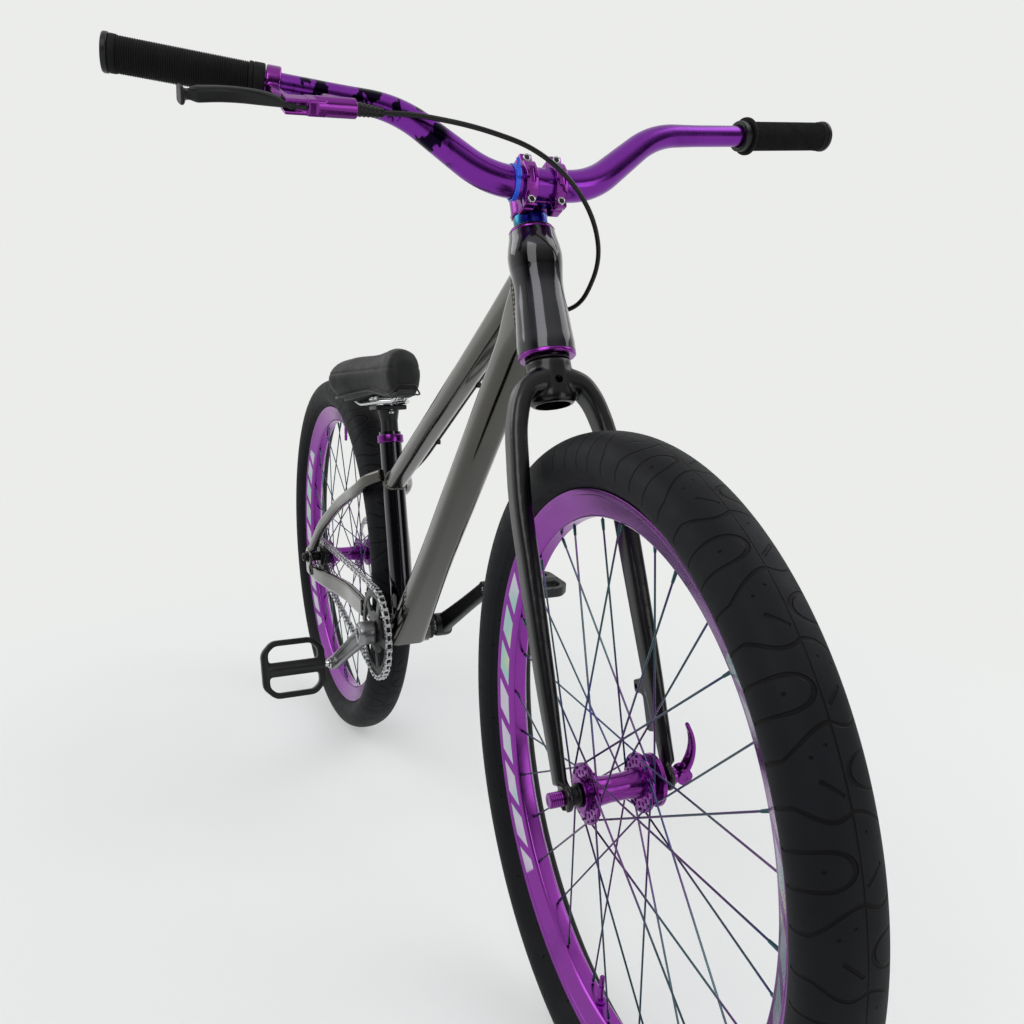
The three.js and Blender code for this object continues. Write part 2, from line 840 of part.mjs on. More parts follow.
// The skewer runs through the axle: its nut on the right, its tongue for the lever on the left.
function addQuickRelease(wheel) {
  const face = frontLocknut + forkDropoutThickness + 2 * seam;
  const bore = skewerRadius + seam;
  const nut = sleeve(bore, skewerNutRadius, face, face + skewerNutWidth);
  add(wheel, "front_skewer_nut", nut.rotateX(Math.PI), purple);

  const release = new THREE.Group();
  release.rotation.y = camHandleAngle * degree;
  wheel.add(release);
  const pinAt = face + camHeadWidth + camRadius;
  const reach = camBarrelLength / 2 - seam;
  const tongueLength = camHeadWidth / 2 + camRadius + camTongue;
  const skewer = join(
    disc(skewerRadius, -face - skewerNutWidth + seam, face + seam, smallFacets),
    disc(camRadius, face, face + camHeadWidth),
    block(camTongue, tongueLength, camRadius, 0, pinAt + camTongue - tongueLength / 2, 0),
    rod(vector(-reach, pinAt, 0), vector(reach, pinAt, 0), camPinRadius),
  );
  add(release, "front_skewer", skewer, purple);

  const barrel = rod(
    vector(-camBarrelLength / 2, pinAt, 0),
    vector(camBarrelLength / 2, pinAt, 0),
    camRadius - seam,
    roundFacets,
  );
  const station = (rise, out, width) => ({
    at: vector(0, pinAt + out, rise),
    section: roundedBox(width, camHandleThickness, camHandleThickness * edgeShare),
    travel: vector(0, 0, 1),
  });
  const handle = tubeThrough(
    [
      station(camRadius / 2, 0, camHandleWidth),
      station(camHandleLength / 2, camHandleRise / 2, camHandleWidth),
      station(camHandleLength, 0, camHandleWidth / 2),
    ],
    vector(1, 0, 0),
  );
  const slot = block(
    camTongue + 2 * seam,
    camSlotLength,
    camSlotHeight,
    0,
    pinAt - camRadius,
    -camRadius / 2,
  );
  const pinBore = rod(
    vector(-camBarrelLength, pinAt, 0),
    vector(camBarrelLength, pinAt, 0),
    camPinRadius + seam,
  );
  add(release, "quick_release_lever", cut(join(barrel, handle), slot, pinBore), purple);
}

function rotor() {
  const [low, high] = [rotorSpread - rotorThickness / 2, rotorSpread + rotorThickness / 2];
  const band = sleeve(rotorRadius - rotorBandWidth, rotorRadius, low, high, wheelFacets);
  const centre = sleeve(axleRadius + runningGap, discFaceRadius, low, high);
  const reach = rotorRadius - rotorBandWidth / 2 - discFaceRadius;
  const arms = Array.from({ length: rotorArms }, (_, i) => {
    const length = reach + rotorArmWidth;
    const arm = block(length, rotorThickness, rotorArmWidth, discFaceRadius + reach / 2, rotorSpread, 0);
    return arm.rotateY((i * 2 * Math.PI) / rotorArms);
  });
  return join(band, centre, ...arms);
}

function addRearWheel() {
  const wheel = new THREE.Group();
  wheel.position.copy(rearAxle);
  bicycle.add(wheel);
  const discFace = rotorSpread - rotorThickness / 2 - seam;
  const hub = laceHub(rearFlangeSpread, rearFlangeSpread - rearDiscSideShift, discFace, hubDriveEnd);
  addWheel(wheel, "rear", hub, rearValveAngle);
  add(wheel, "rear_disc_rotor", rotor(), silver);

  const rightCollar = driverEnd + runningGap;
  const leftCollar = rotorSpread + rotorThickness / 2 + runningGap;
  const axle = turned([
    [0, -rearAxleEnd],
    [axleRadius, -rearAxleEnd],
    [axleRadius, -rearLocknut],
    [endCapRadius, -rearLocknut],
    [endCapRadius, -rightCollar],
    [axleRadius, -rightCollar],
    [axleRadius, leftCollar],
    [endCapRadius, leftCollar],
    [endCapRadius, rearLocknut],
    [axleRadius, rearLocknut],
    [axleRadius, rearAxleEnd],
    [0, rearAxleEnd],
  ]);
  add(wheel, "rear_axle", axle, blackMetal);
  for (const [side, name] of sides) {
    const seat = rearLocknut + dropoutThickness + 2 * seam;
    const bore = axleRadius + seam;
    const washer = sleeve(bore, washerRadius, seat, seat + washerThickness);
    const nut = cut(disc(nutRadius, seat, seat + nutWidth, boltFacets), disc(bore, 0, 2 * seat));
    const turnOver = side < 0 ? Math.PI : 0;
    add(wheel, `rear_axle_nut_${name}`, join(washer, nut).rotateX(turnOver), blackMetal);
  }
}

// Chain drive
const drivePlane = -chainLine;

// Teeth stand midway between the rollers, so no roller lies on a tooth.
function sprocketOutline(teeth, pitchRadius) {
  const root = pitchRadius - rollerHeight / 2 - rootClearance;
  const tip = pitchRadius + toothHeightOverPitch;
  return Array.from({ length: teeth }, (_, i) => {
    const angle = ((i + 1 / 2) * 2 * Math.PI) / teeth;
    const [c, s] = [Math.cos(angle), Math.sin(angle)];
    const corner = (radius, offset) => [radius * c - offset * s, radius * s + offset * c];
    return [
      corner(root, -toothBaseWidth / 2),
      corner(tip, -toothTipWidth / 2),
      corner(tip, toothTipWidth / 2),
      corner(root, toothBaseWidth / 2),
    ];
  }).flat();
}

function sprocket(teeth, pitchRadius) {
  const half = toothThickness / 2;
  return plate(sprocketOutline(teeth, pitchRadius), drivePlane - half, drivePlane + half);
}

function chainring() {
  const spread = 180 / chainringWindows;
  const windows = Array.from({ length: chainringWindows }, (_, i) => {
    const inner = spread - chainringArmWidth / 2 / chainringWindowInner / degree;
    const outer = spread - chainringArmWidth / 2 / chainringWindowOuter / degree;
    const outline = [
      ...arc(0, 0, chainringWindowOuter, -outer, outer, bendSteps),
      ...arc(0, 0, chainringWindowInner, inner, -inner, bendSteps),
    ];
    const window = plate(outline, drivePlane - overrun, drivePlane + overrun);
    return window.rotateY(((2 * i + 1) * Math.PI) / chainringWindows);
  });
  const bore = disc(spindleRadius + seam, drivePlane - overrun, drivePlane + overrun);
  return cut(sprocket(chainringTeeth, chainringRadius), bore, ...windows);
}

function cog() {
  const body = disc(driverRadius, -driverEnd, -hubDriveEnd - seam);
  const bore = disc(axleRadius + runningGap, -rearLocknut, rearLocknut);
  return cut(join(sprocket(cogTeeth, cogRadius), body), bore);
}

// The pins of the closed chain in its own plane, with the cog's middle as origin.
function chainPins() {
  const pins = [];
  const wrap = (centre, radius, teeth, from) => {
    for (let i = 0; i <= teeth / 2; i += 1) {
      const angle = from - (i * 2 * Math.PI) / teeth;
      pins.push(new THREE.Vector2(centre + radius * Math.cos(angle), radius * Math.sin(angle)));
    }
  };
  const run = (from, to) => {
    for (let i = 1; i < chainRunLinks; i += 1) pins.push(from.clone().lerp(to, i / chainRunLinks));
  };
  wrap(chainstayLength, chainringRadius, chainringTeeth, Math.PI / 2);
  run(new THREE.Vector2(chainstayLength, -chainringRadius), new THREE.Vector2(0, -cogRadius));
  wrap(0, cogRadius, cogTeeth, -Math.PI / 2);
  run(new THREE.Vector2(0, cogRadius), new THREE.Vector2(chainstayLength, chainringRadius));
  return pins;
}

// One skin: link plates on both sides, wide and narrow in turn, and a roller at each pin.
function chain() {
  const pins = chainPins();
  const stations = [];
  pins.forEach((pin, i) => {
    const travel = pins[(i + 1) % pins.length].clone().sub(pin).normalize();
    const out = new THREE.Vector2(-travel.y, travel.x);
    const reach = i % 2 === 0 ? outerLinkReach : innerLinkReach;
    for (const along of [rollerLength / 2, chainPitch - rollerLength / 2]) {
      const corner = (y, rise) => {
        const at = pin.clone().addScaledVector(travel, along).addScaledVector(out, rise);
        return vector(at.x, drivePlane + y, at.y);
      };
      stations.push([-1, 1].map((side) => ({
        innerTop: corner(side * innerPlateReach, rollerHeight / 2),
        innerFoot: corner(side * innerPlateReach, -rollerHeight / 2),
        outerTop: corner(side * reach, plateHeight / 2),
        outerFoot: corner(side * reach, -plateHeight / 2),
      })));
    }
  });
  return chainSkin(stations);
}

function chainSkin(stations) {
  const positions = [];
  const face = (turnOver, ...corners) => {
    const [a, b, c, d] = turnOver ? corners.toReversed() : corners;
    [a, b, c, a, c, d].forEach((point) => positions.push(point.x, point.y, point.z));
  };
  stations.forEach((here, i) => {
    const ahead = stations[(i + 1) % stations.length];
    const atRoller = i % 2 === 1;
    [0, 1].forEach((side) => {
      const [a, b] = [here[side], ahead[side]];
      const far = side === 0;
      face(far, a.outerFoot, a.outerTop, b.outerTop, b.outerFoot);
      face(far, a.innerTop, b.innerTop, b.outerTop, a.outerTop);
      face(far, a.innerFoot, a.outerFoot, b.outerFoot, b.innerFoot);
      if (!atRoller) face(far, a.innerFoot, b.innerFoot, b.innerTop, a.innerTop);
    });
    if (!atRoller) return;
    const [[a, c], [b, d]] = [here, ahead];
    face(false, a.innerTop, b.innerTop, d.innerTop, c.innerTop);
    face(false, a.innerFoot, c.innerFoot, d.innerFoot, b.innerFoot);
    face(false, a.innerFoot, a.innerTop, c.innerTop, c.innerFoot);
    face(false, b.innerFoot, d.innerFoot, d.innerTop, b.innerTop);
  });
  const geometry = new THREE.BufferGeometry();
  return geometry.setAttribute("position", new THREE.Float32BufferAttribute(positions, 3));
}

function addDrive() {
  const drive = new THREE.Group();
  drive.position.copy(rearAxle);
  drive.rotation.y = Math.asin(bracketDrop / chainstayLength);
  bicycle.add(drive);
  add(drive, "rear_cog", cog(), blackMetal);
  add(drive, "chain", chain(), silver);
  add(drive, "chainring", chainring(), blackMetal).position.x = chainstayLength;
}

// Cranks and pedals
function crankArm() {
  const boss = disc(crankBossRadius, crankBossInner, crankBossOuter);
  const half = crankArmThickness / 2;
  const eye = disc(crankArmTipWidth / 2, crankTipSpread - half, crankTipSpread + half);
  const spreadAt = (x) => THREE.MathUtils.lerp(crankBossSpread, crankTipSpread, x / crankLength);
  const beam = (from, to, fromWidth, toWidth, thickness, lift, corner) => tubeThrough(
    [[from, fromWidth], [to, toWidth]].map(([x, width]) => ({
      at: vector(x, spreadAt(x) + lift, 0),
      section: roundedBox(width, thickness, corner),
      travel: vector(1, 0, 0),
    })),
    vector(0, 0, 1),
  );
  const edge = crankArmThickness * edgeShare;
  const arm = beam(0, crankLength, crankArmWidth, crankArmTipWidth, crankArmThickness, 0, edge);
  const pocket = beam(
    crankBossRadius + crankPocketEdge,
    crankLength - crankArmTipWidth / 2 - crankPocketEdge,
    crankArmWidth - 2 * crankPocketEdge,
    crankArmTipWidth - 2 * crankPocketEdge,
    2 * crankPocketDepth,
    half,
    crankPocketDepth,
  );
  const spindleHole = disc(spindleRadius + seam, 0, crankEnd);
  const pedalHole = disc(pedalStubRadius + seam, 0, crankEnd, smallFacets);
  const whole = join(boss, eye.translate(crankLength, 0, 0), arm);
  return cut(whole, pocket, spindleHole, pedalHole.translate(crankLength, 0, 0));
}

function pedalAxle() {
  const inner = crankTipSpread - crankArmThickness / 2 + seam;
  const outer = crankTipSpread + crankArmThickness / 2 + seam;
  return turned([
    [0, inner],
    [pedalStubRadius, inner],
    [pedalStubRadius, outer],
    [pedalWasherRadius, outer],
    [pedalWasherRadius, outer + pedalWasherWidth],
    [pedalAxleRadius, outer + pedalWasherWidth],
    [pedalAxleRadius, pedalInner + pedalWidth - pedalRail],
    [0, pedalInner + pedalWidth - pedalRail],
  ], smallFacets);
}

function pedal() {
  const middle = pedalInner + pedalWidth / 2;
  const outline = roundedBox(pedalLength, pedalWidth, pedalRail);
  const body = plate(outline, -pedalThickness / 2, pedalThickness / 2).rotateX(Math.PI / 2);
  const windowLength = pedalLength / 2 - pedalRail - pedalSpineRadius;
  const windows = [-1, 1].map((side) => block(
    windowLength,
    pedalWidth - 2 * pedalRail,
    2 * pedalThickness,
    side * (pedalSpineRadius + windowLength / 2),
  ));
  const spine = disc(pedalSpineRadius, -pedalWidth / 2, pedalWidth / 2);
  const bore = disc(pedalAxleRadius + runningGap, -pedalWidth, pedalWidth / 2 - pedalRail / 2);
  return cut(join(body, spine), bore, ...windows).translate(0, middle, 0);
}

function addCranks() {
  const axle = new THREE.Group();
  axle.position.copy(bracket);
  bicycle.add(axle);
  const reach = crankBossOuter - seam;
  add(axle, "crank_spindle", disc(spindleRadius, -reach, reach), silver);
  for (const [side, name] of sides) {
    const angle = (crankAngle + (side > 0 ? 180 : 0)) * degree;
    const turnOver = side < 0 ? Math.PI : 0;
    const material = side < 0 ? silver : blackMetal;
    add(axle, `crank_arm_${name}`, crankArm().rotateX(turnOver).rotateY(-angle), material);
    const atPedal = new THREE.Group();
    atPedal.position.set(crankLength * Math.cos(angle), 0, crankLength * Math.sin(angle));
    axle.add(atPedal);
    add(atPedal, `pedal_axle_${name}`, pedalAxle().rotateX(turnOver).rotateY(-angle), silver);
    const pedalTurn = (side < 0 ? rightPedalTurn : leftPedalTurn) * degree;
    add(atPedal, `pedal_${name}`, pedal().rotateX(turnOver).rotateY(pedalTurn), blackMetal);
  }
}

function bracketCup() {
  const bore = spindleRadius + runningGap;
  const half = bracketShellWidth / 2;
  return ringOf([
    [bore, half - bracketCupSleeve],
    [bracketBoreRadius - seam, half - bracketCupSleeve],
    [bracketBoreRadius - seam, half + seam],
    [bracketCupRadius, half + seam],
    [bracketCupRadius, half + bracketCupWidth],
    [bore, half + bracketCupWidth],
  ]);
}

function addBracket() {
  const half = bracketShellWidth / 2;
  const shell = sleeve(bracketBoreRadius, bracketShellRadius, -half, half);
  add(bicycle, "bottom_bracket_shell", shell, rawMetal).position.copy(bracket);
  for (const [side, name] of sides) {
    const cup = bracketCup().rotateX(side < 0 ? Math.PI : 0);
    add(bicycle, `bottom_bracket_cup_${name}`, cup, blackMetal).position.copy(bracket);
  }
}

// Frame tubes, each cut back by a seam from what it meets
const downTubeHead = onSteerAxis(headBottom + downTubeJoin);
const downTubeShift = vector(Math.sin(downTubeAngle * degree), 0, -Math.cos(downTubeAngle * degree));
const downTubeFoot = bracket.clone().addScaledVector(downTubeShift, downTubeOffset);
const downTubeDirection = downTubeHead.clone().sub(downTubeFoot).normalize();

function headTubeOutline(grow = 0) {
  return turnedUp([
    [0, -grow],
    [headBottomRadius + grow, -grow],
    [headBottomRadius + grow, headBottomLand],
    [headWaistRadius + grow, headWaistRise],
    [headBulgeRadius + grow, headBulgeRise - headBulgeLand],
    [headBulgeRadius + grow, headBulgeRise + headBulgeLand],
    [headWaistRadius + grow, headTopRise],
    [headWaistRadius + grow, headTubeLength + grow],
    [0, headTubeLength + grow],
  ]).translate(0, 0, headBottom);
}

function downTubeOutline(grow = 0) {
  const length = downTubeHead.distanceTo(downTubeFoot);
  const station = (along, width, depth) => ({
    at: downTubeFoot.clone().addScaledVector(downTubeDirection, along),
    section: roundedBox(width + 2 * grow, depth + 2 * grow, downTubeCorner),
    travel: downTubeDirection,
  });
  return tubeThrough([
    station(-grow, downTubeFootWidth, downTubeDepth),
    station(length * downTubeFootShare, downTubeWidth, downTubeDepth),
    station(length - downTubeThroatLength, downTubeWidth, downTubeDepth),
    station(length, downTubeWidth, downTubeThroatDepth),
  ]);
}

function shellEnvelope() {
  const half = bracketShellWidth;
  return disc(bracketShellRadius + seam, -half, half).translate(bracket.x, bracket.y, bracket.z);
}

function seatTubeRod(radius, from, to, endRadius = radius) {
  return rod(onSeatTube(from), onSeatTube(to), radius, roundFacets, endRadius);
}

function topTube() {
  const foot = onSeatTube(topTubeRise);
  const head = onSteerAxis(headBottom + topTubeJoin);
  const travel = head.clone().sub(foot).normalize();
  return tubeThrough([
    { at: foot, section: roundedBox(topTubeWidth, topTubeDepth, topTubeCorner), travel },
    { at: head, section: roundedBox(topTubeWidth, topTubeFrontDepth, topTubeCorner), travel },
  ]);
}

function addFrameTubes() {
  const headEnvelope = fromHeadFrame(headTubeOutline(seam));
  const headBore = discUp(headBoreRadius, headBottom - overrun, headTop + overrun);
  add(headFrame, "head_tube", cut(headTubeOutline(), headBore), smokedMetal);

  const seatEnvelope = seatTubeRod(seatTubeRadius + seam, 0, seatTubeLength, seatTubeTopRadius + seam);
  const seatBore = seatTubeRod(seatPostRadius + seam, 0, seatTubeLength + overrun);
  const seatOuter = seatTubeRod(seatTubeRadius, 0, seatTubeLength, seatTubeTopRadius);
  add(bicycle, "seat_tube", cut(seatOuter, seatBore, shellEnvelope()), smokedMetal);
  const downTube = cut(downTubeOutline(), headEnvelope, shellEnvelope(), seatEnvelope);
  add(bicycle, "down_tube", downTube, rawMetal);
  add(bicycle, "top_tube", cut(topTube(), headEnvelope, downTubeOutline(seam), seatEnvelope), rawMetal);
  return seatEnvelope;
}

// Stays are drawn on the left from rear axle coordinates and mirrored to the right.
function fromRearAxle(x, y, z) {
  return rearAxle.clone().add(vector(x, y, z));
}

function chainstay(side) {
  const station = (x, y, z, width, depth) => ({
    at: fromRearAxle(x, side * y, z),
    section: roundedBox(width, depth, stayCorner),
  });
  const beam = tubeThrough(
    [
      station(-chainstayTail, chainstayRearSpread, -chainstayRearDrop, stayRearWidth, chainstayRearDepth),
      station(chainstayTail, chainstayRearSpread, -chainstayRearDrop, stayRearWidth, chainstayRearDepth),
      station(chainstayKink, chainstaySpread, -chainstayDrop, stayWidth, chainstayDepth),
      station(chainstayEnd, chainstaySpread, -chainstayDrop, stayWidth, chainstayDepth),
    ],
  );
  const yokeSpread = chainstaySpread - yokeShift;
  const yoke = tubeThrough([
    station(chainstayEnd - overrun, yokeSpread, -chainstayDrop, yokeThickness, yokeDepth),
    station(yokeBend, yokeSpread, -chainstayDrop - yokeFall / 2, yokeThickness, yokeDepth),
    station(chainstayLength - bracketShellRadius / 2, yokeEndSpread, -bracketDrop, yokeThickness, yokeDepth),
  ]);
  const inner = side < 0 ? -rearLocknut - seam - dropoutThickness : rearLocknut + seam;
  const hookOutline = [
    ...arc(0, 0, dropoutRadius, -90, 180, 2 * bendSteps),
    [-chainstayTail, -chainstayRearDrop - chainstayRearDepth * edgeShare],
    [chainstayTail, -chainstayRearDrop - chainstayRearDepth * edgeShare],
  ];
  const hook = plate(hookOutline, inner, inner + dropoutThickness);
  const hookRoot = block(
    2 * chainstayTail,
    stayRearWidth,
    chainstayRearDepth / 2,
    0,
    side * (rearLocknut + dropoutThickness - stayRearWidth / 2),
    -chainstayRearDrop,
  );
  const place = (geometry) => geometry.translate(rearAxle.x, 0, rearAxle.z);
  const axleHole = disc(axleRadius + seam, -2 * rearLocknut, 2 * rearLocknut);
  const whole = join(beam, yoke, place(join(hook, hookRoot)));
  return cut(whole, place(axleHole), shellEnvelope());
}

function seatstay(side, seatEnvelope) {
  const path = seatstayPath.map(([x, y, z]) => fromRearAxle(x, side * y, z));
  const last = onSeatTube(stayRise);
  path.push(last.clone().setY(side * seatstayEndSpread));
  const section = roundedBox(stayWidth, seatstayDepth, stayCorner);
  const beam = tubeThrough(path.map((at) => ({ at, section })));
  const clearance = disc(boreFor(dropoutRadius), -2 * rearLocknut, 2 * rearLocknut);
  const body = side < 0 ? beam : join(beam, caliperTab());
  return cut(body, clearance.translate(rearAxle.x, 0, rearAxle.z), seatEnvelope);
}

function addStays(seatEnvelope) {
  for (const [side, name] of sides) {
    add(bicycle, `chainstay_${name}`, chainstay(side), rawMetal);
    add(bicycle, `seatstay_${name}`, seatstay(side, seatEnvelope), rawMetal);
  }
}

// Fork, in the front end's frame: X forward, Z up the steering axis
const raceTop = crownTop + crownRaceHeight;

function bladeStation([rise, spread, width, depth], side) {
  const lean = (forkOffset - bladeTopForward) * (1 - rise / crownTop);
  return {
    at: vector(bladeTopForward + lean, side * spread, rise),
    section: roundedBox(depth, width, bladeCorner),
    travel: vector(0, 0, 1),
  };
}

function fork() {
  const crownFoot = crownTop - crownHeight;
  const steererTop = barHeight + stemHeight / 2 - steererShort;
  const solid = turnedUp([
    [0, crownFoot],
    [crownRadius, crownFoot],
    [crownRadius, crownTop],
    [crownRaceRadius, crownTop],
    [crownRaceRadius, raceTop],
    [lowerSteererRadius, raceTop],
    [lowerSteererRadius, crownTop + steererTaperStart],
    [steererRadius, crownTop + steererTaperEnd],
    [steererRadius, steererTop],
    [0, steererTop],
  ]);
  const bore = turnedUp([
    [0, crownFoot - overrun],
    [crownWallRadius, crownFoot - overrun],
    [crownWallRadius, crownTop - crownHoleDrop],
    [steererBoreRadius, crownTop + steererTaperEnd],
    [steererBoreRadius, steererTop + overrun],
    [0, steererTop + overrun],
  ]);
  const holeRise = crownTop - crownHoleDrop;
  const hole = rod(vector(0, 0, holeRise), vector(2 * crownRadius, 0, holeRise), crownHoleRadius);
  const legs = [-1, 1].map((side) =>
    tubeThrough(bladePath.map((station) => bladeStation(station, side)).toReversed(), vector(1, 0, 0)));
  const dropouts = [-1, 1].map((side) => {
    const inner = side < 0 ? -frontLocknut - seam - forkDropoutThickness : frontLocknut + seam;
    const eye = disc(forkDropoutRadius, inner, inner + forkDropoutThickness);
    return eye.translate(forkOffset, 0, 0);
  });
  const outside = axleStubEnd + forkDropoutRadius;
  const slot = block(
    2 * forkSlotRadius,
    2 * outside,
    2 * forkDropoutRadius,
    forkOffset,
    0,
    -forkDropoutRadius,
  );
  const slotTop = disc(forkSlotRadius, -outside, outside).translate(forkOffset, 0, 0);
  const tab = block(brakeTabReach, brakeTabWidth, brakeTabHeight)
    .translate(brakeTabForward, brakeTabSpread, brakeTabRise);
  const tabHole = disc(brakeTabHole, 0, outside, smallFacets);
  const tabHoleAt = tabHole.translate(brakeTabForward - brakeTabReach / 4, 0, brakeTabRise);
  return cut(join(solid, ...legs, ...dropouts, tab), bore, hole, slot, slotTop, tabHoleAt);
}

function addForkAndHeadset() {
  add(frontEnd, "fork", fork(), blackGloss);
  const lowerBore = boreFor(lowerSteererRadius, runningGap);
  const lowerCup = ringOf([
    [lowerBore, raceTop + runningGap],
    [headBottomRadius, raceTop + runningGap],
    [headBottomRadius, headBottom - seam],
    [headBoreRadius - seam, headBottom - seam],
    [headBoreRadius - seam, headBottom + cupSleeve],
    [lowerBore, headBottom + cupSleeve],
  ]).rotateX(Math.PI / 2);
  add(headFrame, "headset_lower_cup", lowerCup, purple);

  const cupTop = headTop + seam + upperCupHeight;
  const upperCup = ringOf([
    [lowerBore, headTop - cupSleeve],
    [headBoreRadius - seam, headTop - cupSleeve],
    [headBoreRadius - seam, headTop + seam],
    [headWaistRadius, headTop + seam],
    [headWaistRadius, cupTop],
    [lowerBore, cupTop],
  ]).rotateX(Math.PI / 2);
  add(headFrame, "headset_upper_cup", upperCup, purple);

  const coverTop = cupTop + runningGap + coverHeight;
  const steererFit = steererRadius + seam;
  const neck = lowerBore * Math.cos(Math.PI / roundFacets) - runningGap;
  const cover = ringOf([
    [steererFit, headTop - cupSleeve / 2],
    [neck, headTop - cupSleeve / 2],
    [neck, cupTop + runningGap],
    [coverRadius, cupTop + runningGap],
    [coverRadius, coverTop],
    [steererFit, coverTop],
  ]).rotateX(Math.PI / 2);
  add(frontEnd, "headset_cover", cover, blackGloss);
  const stemFoot = barHeight - stemHeight / 2;
  const spacer = sleeveUp(steererFit, spacerRadius, coverTop + seam, stemFoot - seam);
  add(frontEnd, "headset_spacer", spacer, oilSlick);
}

function addStem() {
  const stemTop = barHeight + stemHeight / 2;
  const front = stemReach - seam;
  const earHeight = 2 * boltRise + faceplateEarHeight;
  const barBore = disc(boreFor(barClampDiameter / 2), -2 * faceplateSpread, 2 * faceplateSpread);
  const atBar = (geometry) => geometry.translate(stemReach, 0, barHeight);
  const steererBore = discUp(steererRadius + seam, barHeight - stemHeight, barHeight + stemHeight);
  const width = 2 * faceplateSpread + faceplateWidth;
  const body = join(
    discUp(stemClampRadius, barHeight - stemHeight / 2, stemTop),
    block(front, width - faceplateWidth, stemHeight, front / 2, 0, barHeight),
    ...[-1, 1].map((side) => block(
      stemEarDepth,
      faceplateWidth,
      earHeight,
      front - stemEarDepth / 2,
      side * faceplateSpread,
      barHeight,
    )),
  );
  add(frontEnd, "stem", cut(body, steererBore, atBar(barBore.clone())), purple);

  for (const [side, name] of sides) {
    const middle = side * faceplateSpread;
    const half = faceplateWidth / 2;
    const ring = disc(barClampDiameter / 2 + faceplateWall, middle - half, middle + half);
    const ears = block(faceplateEarDepth, faceplateWidth, earHeight, faceplateEarDepth / 2, middle, 0);
    const behind = block(earHeight, 2 * faceplateWidth, 2 * earHeight)
      .translate(seam - earHeight / 2, middle, 0);
    const bolts = [-1, 1].map((up) => rod(
      vector(faceplateEarDepth / 2, middle, up * boltRise),
      vector(faceplateEarDepth + boltHeadHeight, middle, up * boltRise),
      boltHeadRadius,
    ));
    const faceplate = join(cut(join(ring, ears), barBore, behind), ...bolts);
    add(frontEnd, `stem_faceplate_${name}`, atBar(faceplate), purple);
  }
  const cap = turnedUp([
    [0, stemTop - topCapHeight],
    [steererBoreRadius - seam, stemTop - topCapHeight],
    [steererBoreRadius - seam, stemTop + seam],
    [steererRadius + topCapHeight / 2, stemTop + seam],
    [steererRadius + topCapHeight / 2, stemTop + topCapHeight],
    [0, stemTop + topCapHeight],
  ]);
  add(frontEnd, "stem_top_cap", cap, blackMetal);
}

// Handlebar
function barCorner(side, along, rise) {
  const sweep = Math.max(0, (along - barHighBend) / (barHalfWidth - barHighBend));
  return vector(stemReach - sweep * barEndSetback, side * along, barHeight + rise);
}

function barEnd(side) {
  return barCorner(side, barHalfWidth, barEndRise);
}

function barDirection(side) {
  return barEnd(side).sub(barCorner(side, barHighBend, barRise)).normalize();
}

function handlebar() {
  const half = (side) => [
    barCorner(side, barHalfWidth, barEndRise),
    barCorner(side, barHighBend, barRise),
    barCorner(side, barLowBend, 0),
  ];
  const bends = bentPath([...half(-1), ...half(1).toReversed()], barBendLength);
  const taperEnd = (side) =>
    barEnd(side).addScaledVector(barDirection(side), barTaperEnd - barHalfWidth);
  const path = [bends[0], taperEnd(-1), ...bends.slice(1, -1), taperEnd(1), bends[bends.length - 1]];
  const thick = barClampDiameter / 2;
  const thin = barEndDiameter / 2;
  const stations = path.map((at) => {
    const along = THREE.MathUtils.clamp((Math.abs(at.y) - barClampHalf) / (barTaperEnd - barClampHalf), 0, 1);
    return { at, section: circle(THREE.MathUtils.lerp(thick, thin, along)) };
  });
  return tubeThrough(stations, vector(1, 0, 0));
}

// Moves geometry built outwards along +Y onto the bar, with its origin this far from the bar's end.
function onBar(geometry, side, setback) {
  const direction = barDirection(side);
  const turn = new THREE.Quaternion().setFromUnitVectors(vector(0, side, 0), direction);
  if (side < 0) geometry.rotateZ(Math.PI);
  const at = barEnd(side).addScaledVector(direction, -setback);
  return geometry.applyQuaternion(turn).translate(at.x, at.y, at.z);
}

function grip() {
  const bore = boreFor(barEndDiameter / 2);
  const collarFoot = -gripLength - gripCollarWidth;
  return turned([
    [bore, collarFoot],
    [gripCollarRadius, collarFoot],
    [gripCollarRadius, -gripLength],
    [gripFlangeRadius, -gripLength],
    [gripFlangeRadius, gripFlangeWidth - gripLength],
    [gripRadius, gripFlangeWidth - gripLength],
    [gripRadius, 0],
    [gripEndRadius, seam],
    [gripEndRadius, gripEndThickness],
    [0, gripEndThickness],
    [0, seam],
    [bore, seam],
    [bore, collarFoot],
  ]);
}

function addCockpit() {
  add(frontEnd, "handlebar", handlebar(), purple);
  for (const [side, name] of sides) add(frontEnd, `grip_${name}`, onBar(grip(), side, 0), gripRubber);
  const tie = join(
    sleeve(boreFor(barClampDiameter / 2), boreFor(barClampDiameter / 2) + tieThickness, 0, tieWidth),
    block(tieWidth, tieWidth, 2 * tieWidth, boreFor(barClampDiameter / 2) + tieWidth / 2, tieWidth / 2, 0),
  );
  add(frontEnd, "cable_tie", tie.translate(stemReach, -tieAt, barHeight), tiePlastic);
  addBrakeLever();
}

